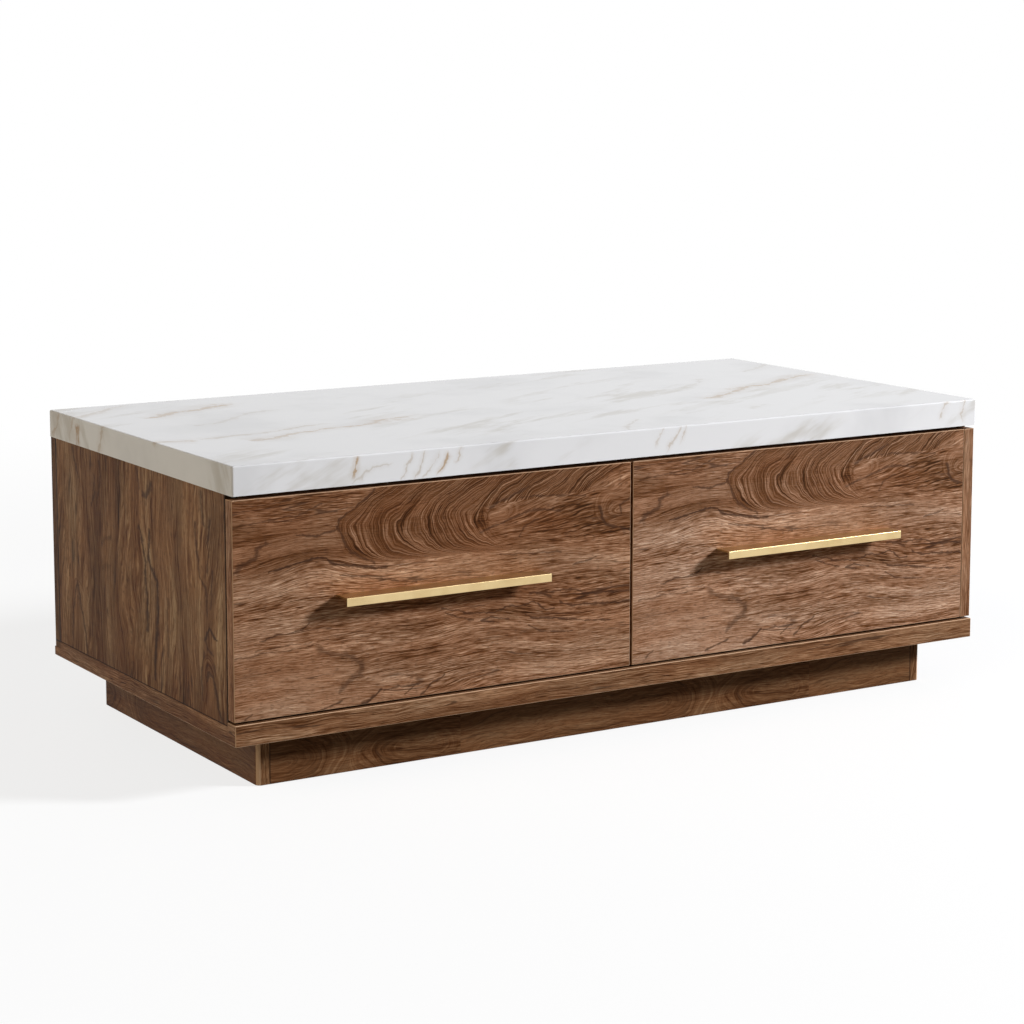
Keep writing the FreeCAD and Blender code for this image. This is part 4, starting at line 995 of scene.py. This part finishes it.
# colour, second colour, speckles a metre, roughness and metallic
plainFinishes = {
    "rawBoard": ((0.5, 0.36, 0.22), (0.34, 0.22, 0.12), 420.0, 0.75, 0.0),
    "drawerBoard": ((0.62, 0.56, 0.46), (0.54, 0.48, 0.39), 900.0, 0.5, 0.0),
    "beech": ((0.55, 0.36, 0.2), (0.42, 0.26, 0.13), 500.0, 0.6, 0.0),
    "zincPlate": ((0.55, 0.56, 0.58), (0.42, 0.43, 0.45), 160.0, 0.35, 1.0),
    "yellowZinc": ((0.62, 0.56, 0.4), (0.5, 0.46, 0.36), 300.0, 0.35, 1.0),
    "castZinc": ((0.5, 0.51, 0.52), (0.36, 0.37, 0.38), 700.0, 0.5, 1.0),
    "glidePlastic": ((0.02, 0.02, 0.02), (0.035, 0.035, 0.035), 900.0, 0.55, 0.0),
    "bumperPad": ((0.6, 0.6, 0.58), (0.52, 0.52, 0.5), 300.0, 0.3, 0.0),
}


def makeSpeckled(name, colour, second, speckles, roughness, metallic):
    gloss = {"Metallic": metallic, "Roughness": roughness}
    material, tree, shader, where = startMaterial(name, gloss)
    grain = noise(tree, where["Object"], speckles, 3.0, 0.6, flat=False)
    colour = mixColour(tree, fade(tree, grain, 0.35, 0.65), colour, second)
    tree.links.new(colour, shader.inputs["Base Color"])
    rough = addFingerMarks(tree, where, speckled["fingerMarks"], roughness)
    plug(tree, rough, shader.inputs["Roughness"])
    addBump(tree, shader, grain, **speckled["bump"])
    return material


finishes = {name: makeSpeckled(name, *finish) for name, finish in plainFinishes.items()}
finishOfSlot = {
    "board_core": "rawBoard", "drawer_board": "drawerBoard", "beech": "beech", "slide_steel": "zincPlate",
    "screw_steel": "yellowZinc", "cast_zinc": "castZinc", "glide_plastic": "glidePlastic",
    "bumper_plastic": "bumperPad",
}
for part in frame["record"]["subparts"]:
    if part["material_slot"] in finishOfSlot:
        dress(finishes[finishOfSlot[part["material_slot"]]], part["node"])
print("inner finishes done")


# Floor, world and lamps

stage = {
    "floorSize": 30.0,
    "floorColour": (0.24, 0.215, 0.17),
    "shadowShare": 0.22,  # how much of the real shadow the white floor keeps
    "shadowReach": (1.2, 3.0),  # how far from the middle that shadow fades to plain white
    "worldLight": 0.12,
    "worldColour": (0.9, 1.0, 1.15),
    "key": {"place": (6.6, -4.93, 3.9), "aim": (0.0, -0.1, 0.3), "size": 1.6, "power": 1190.0,
            "colour": (0.98, 1.0, 1.04)},
    "leftFill": {"way": (-1.0, -0.15, 0.3), "softness": 70.0, "power": 1.7, "colour": (1.0, 0.86, 0.64)},
    "backFill": {"way": (0.25, 1.0, 0.1), "softness": 40.0, "power": 1.4, "colour": (1.0, 0.98, 0.95)},
    "fillDistance": 3,
}


def addSeenByCamera(tree):
    # 1 for what the camera sees straight, in a mirror or through glass
    rays = tree.nodes.new("ShaderNodeLightPath").outputs
    return calc(tree, "ADD", calc(tree, "ADD", rays["Is Camera Ray"], rays["Is Glossy Ray"]),
                rays["Is Transmission Ray"], clamp=True)


def makeFloor():
    bpy.ops.object.select_all(action="DESELECT")
    bpy.ops.mesh.primitive_plane_add(size=stage["floorSize"])
    floor = bpy.context.object
    floor.name = "paleFloor"
    gloss = {"Roughness": 0.9, "Specular IOR Level": 0.0}
    material, tree, shader, where = startMaterial("paleFloor", gloss)
    seen = addSeenByCamera(tree)
    colour = mixColour(tree, seen, stage["floorColour"], (1.0, 1.0, 1.0))
    tree.links.new(colour, shader.inputs["Base Color"])
    glow = addNode(tree, "ShaderNodeEmission")
    blend = addNode(tree, "ShaderNodeMixShader")
    distance = calcVector(tree, "LENGTH", where["Object"])
    white = fade(tree, distance, *stage["shadowReach"], 1 - stage["shadowShare"], 1.0)
    plug(tree, calc(tree, "MULTIPLY", seen, white), blend.inputs[0])
    tree.links.new(shader.outputs[0], blend.inputs[1])
    tree.links.new(glow.outputs[0], blend.inputs[2])
    tree.links.new(blend.outputs[0], tree.nodes["Material Output"].inputs["Surface"])
    floor.data.materials.append(material)


def makeWorld():
    world = bpy.data.worlds.new("studio")
    bpy.context.scene.world = world
    world.use_nodes = True
    tree = world.node_tree
    light = tree.nodes["Background"]
    light.inputs["Color"].default_value = (*stage["worldColour"], 1)
    light.inputs["Strength"].default_value = stage["worldLight"]
    white = addNode(tree, "ShaderNodeBackground", {"Color": (1, 1, 1, 1), "Strength": 1.0})
    blend = addNode(tree, "ShaderNodeMixShader")
    plug(tree, addSeenByCamera(tree), blend.inputs[0])
    tree.links.new(light.outputs[0], blend.inputs[1])
    tree.links.new(white.outputs[0], blend.inputs[2])
    tree.links.new(blend.outputs[0], tree.nodes["World Output"].inputs["Surface"])


def turnLamp(lamp, way):
    # the lamp shines against this way
    lamp.rotation_euler = (math.atan2(math.hypot(way[0], way[1]), way[2]), 0, math.atan2(way[0], -way[1]))


def makeKeyLamp(key):
    # a round softbox high on the right, near enough to light the right end more
    bpy.ops.object.light_add(type="AREA", location=key["place"])
    lamp = bpy.context.object
    lamp.name = "keyLamp"
    turnLamp(lamp, [place - aim for place, aim in zip(key["place"], key["aim"])])
    lamp.data.shape = "DISK"
    lamp.data.size = key["size"]
    lamp.data.energy = key["power"]
    lamp.data.color = key["colour"]


def makeFill(name, fill):
    # a wide, even light from one side
    bpy.ops.object.light_add(type="SUN", location=[value * stage["fillDistance"] for value in fill["way"]])
    lamp = bpy.context.object
    lamp.name = name
    turnLamp(lamp, fill["way"])
    lamp.data.angle = math.radians(fill["softness"])
    lamp.data.energy = fill["power"]
    lamp.data.color = fill["colour"]
    return lamp


makeFloor()
makeWorld()
makeKeyLamp(stage["key"])
makeFill("leftFill", stage["leftFill"])
backFill = makeFill("backFill", stage["backFill"])
backFill.visible_glossy = False  # it would mirror in the top and hide the veins
print("stage done")
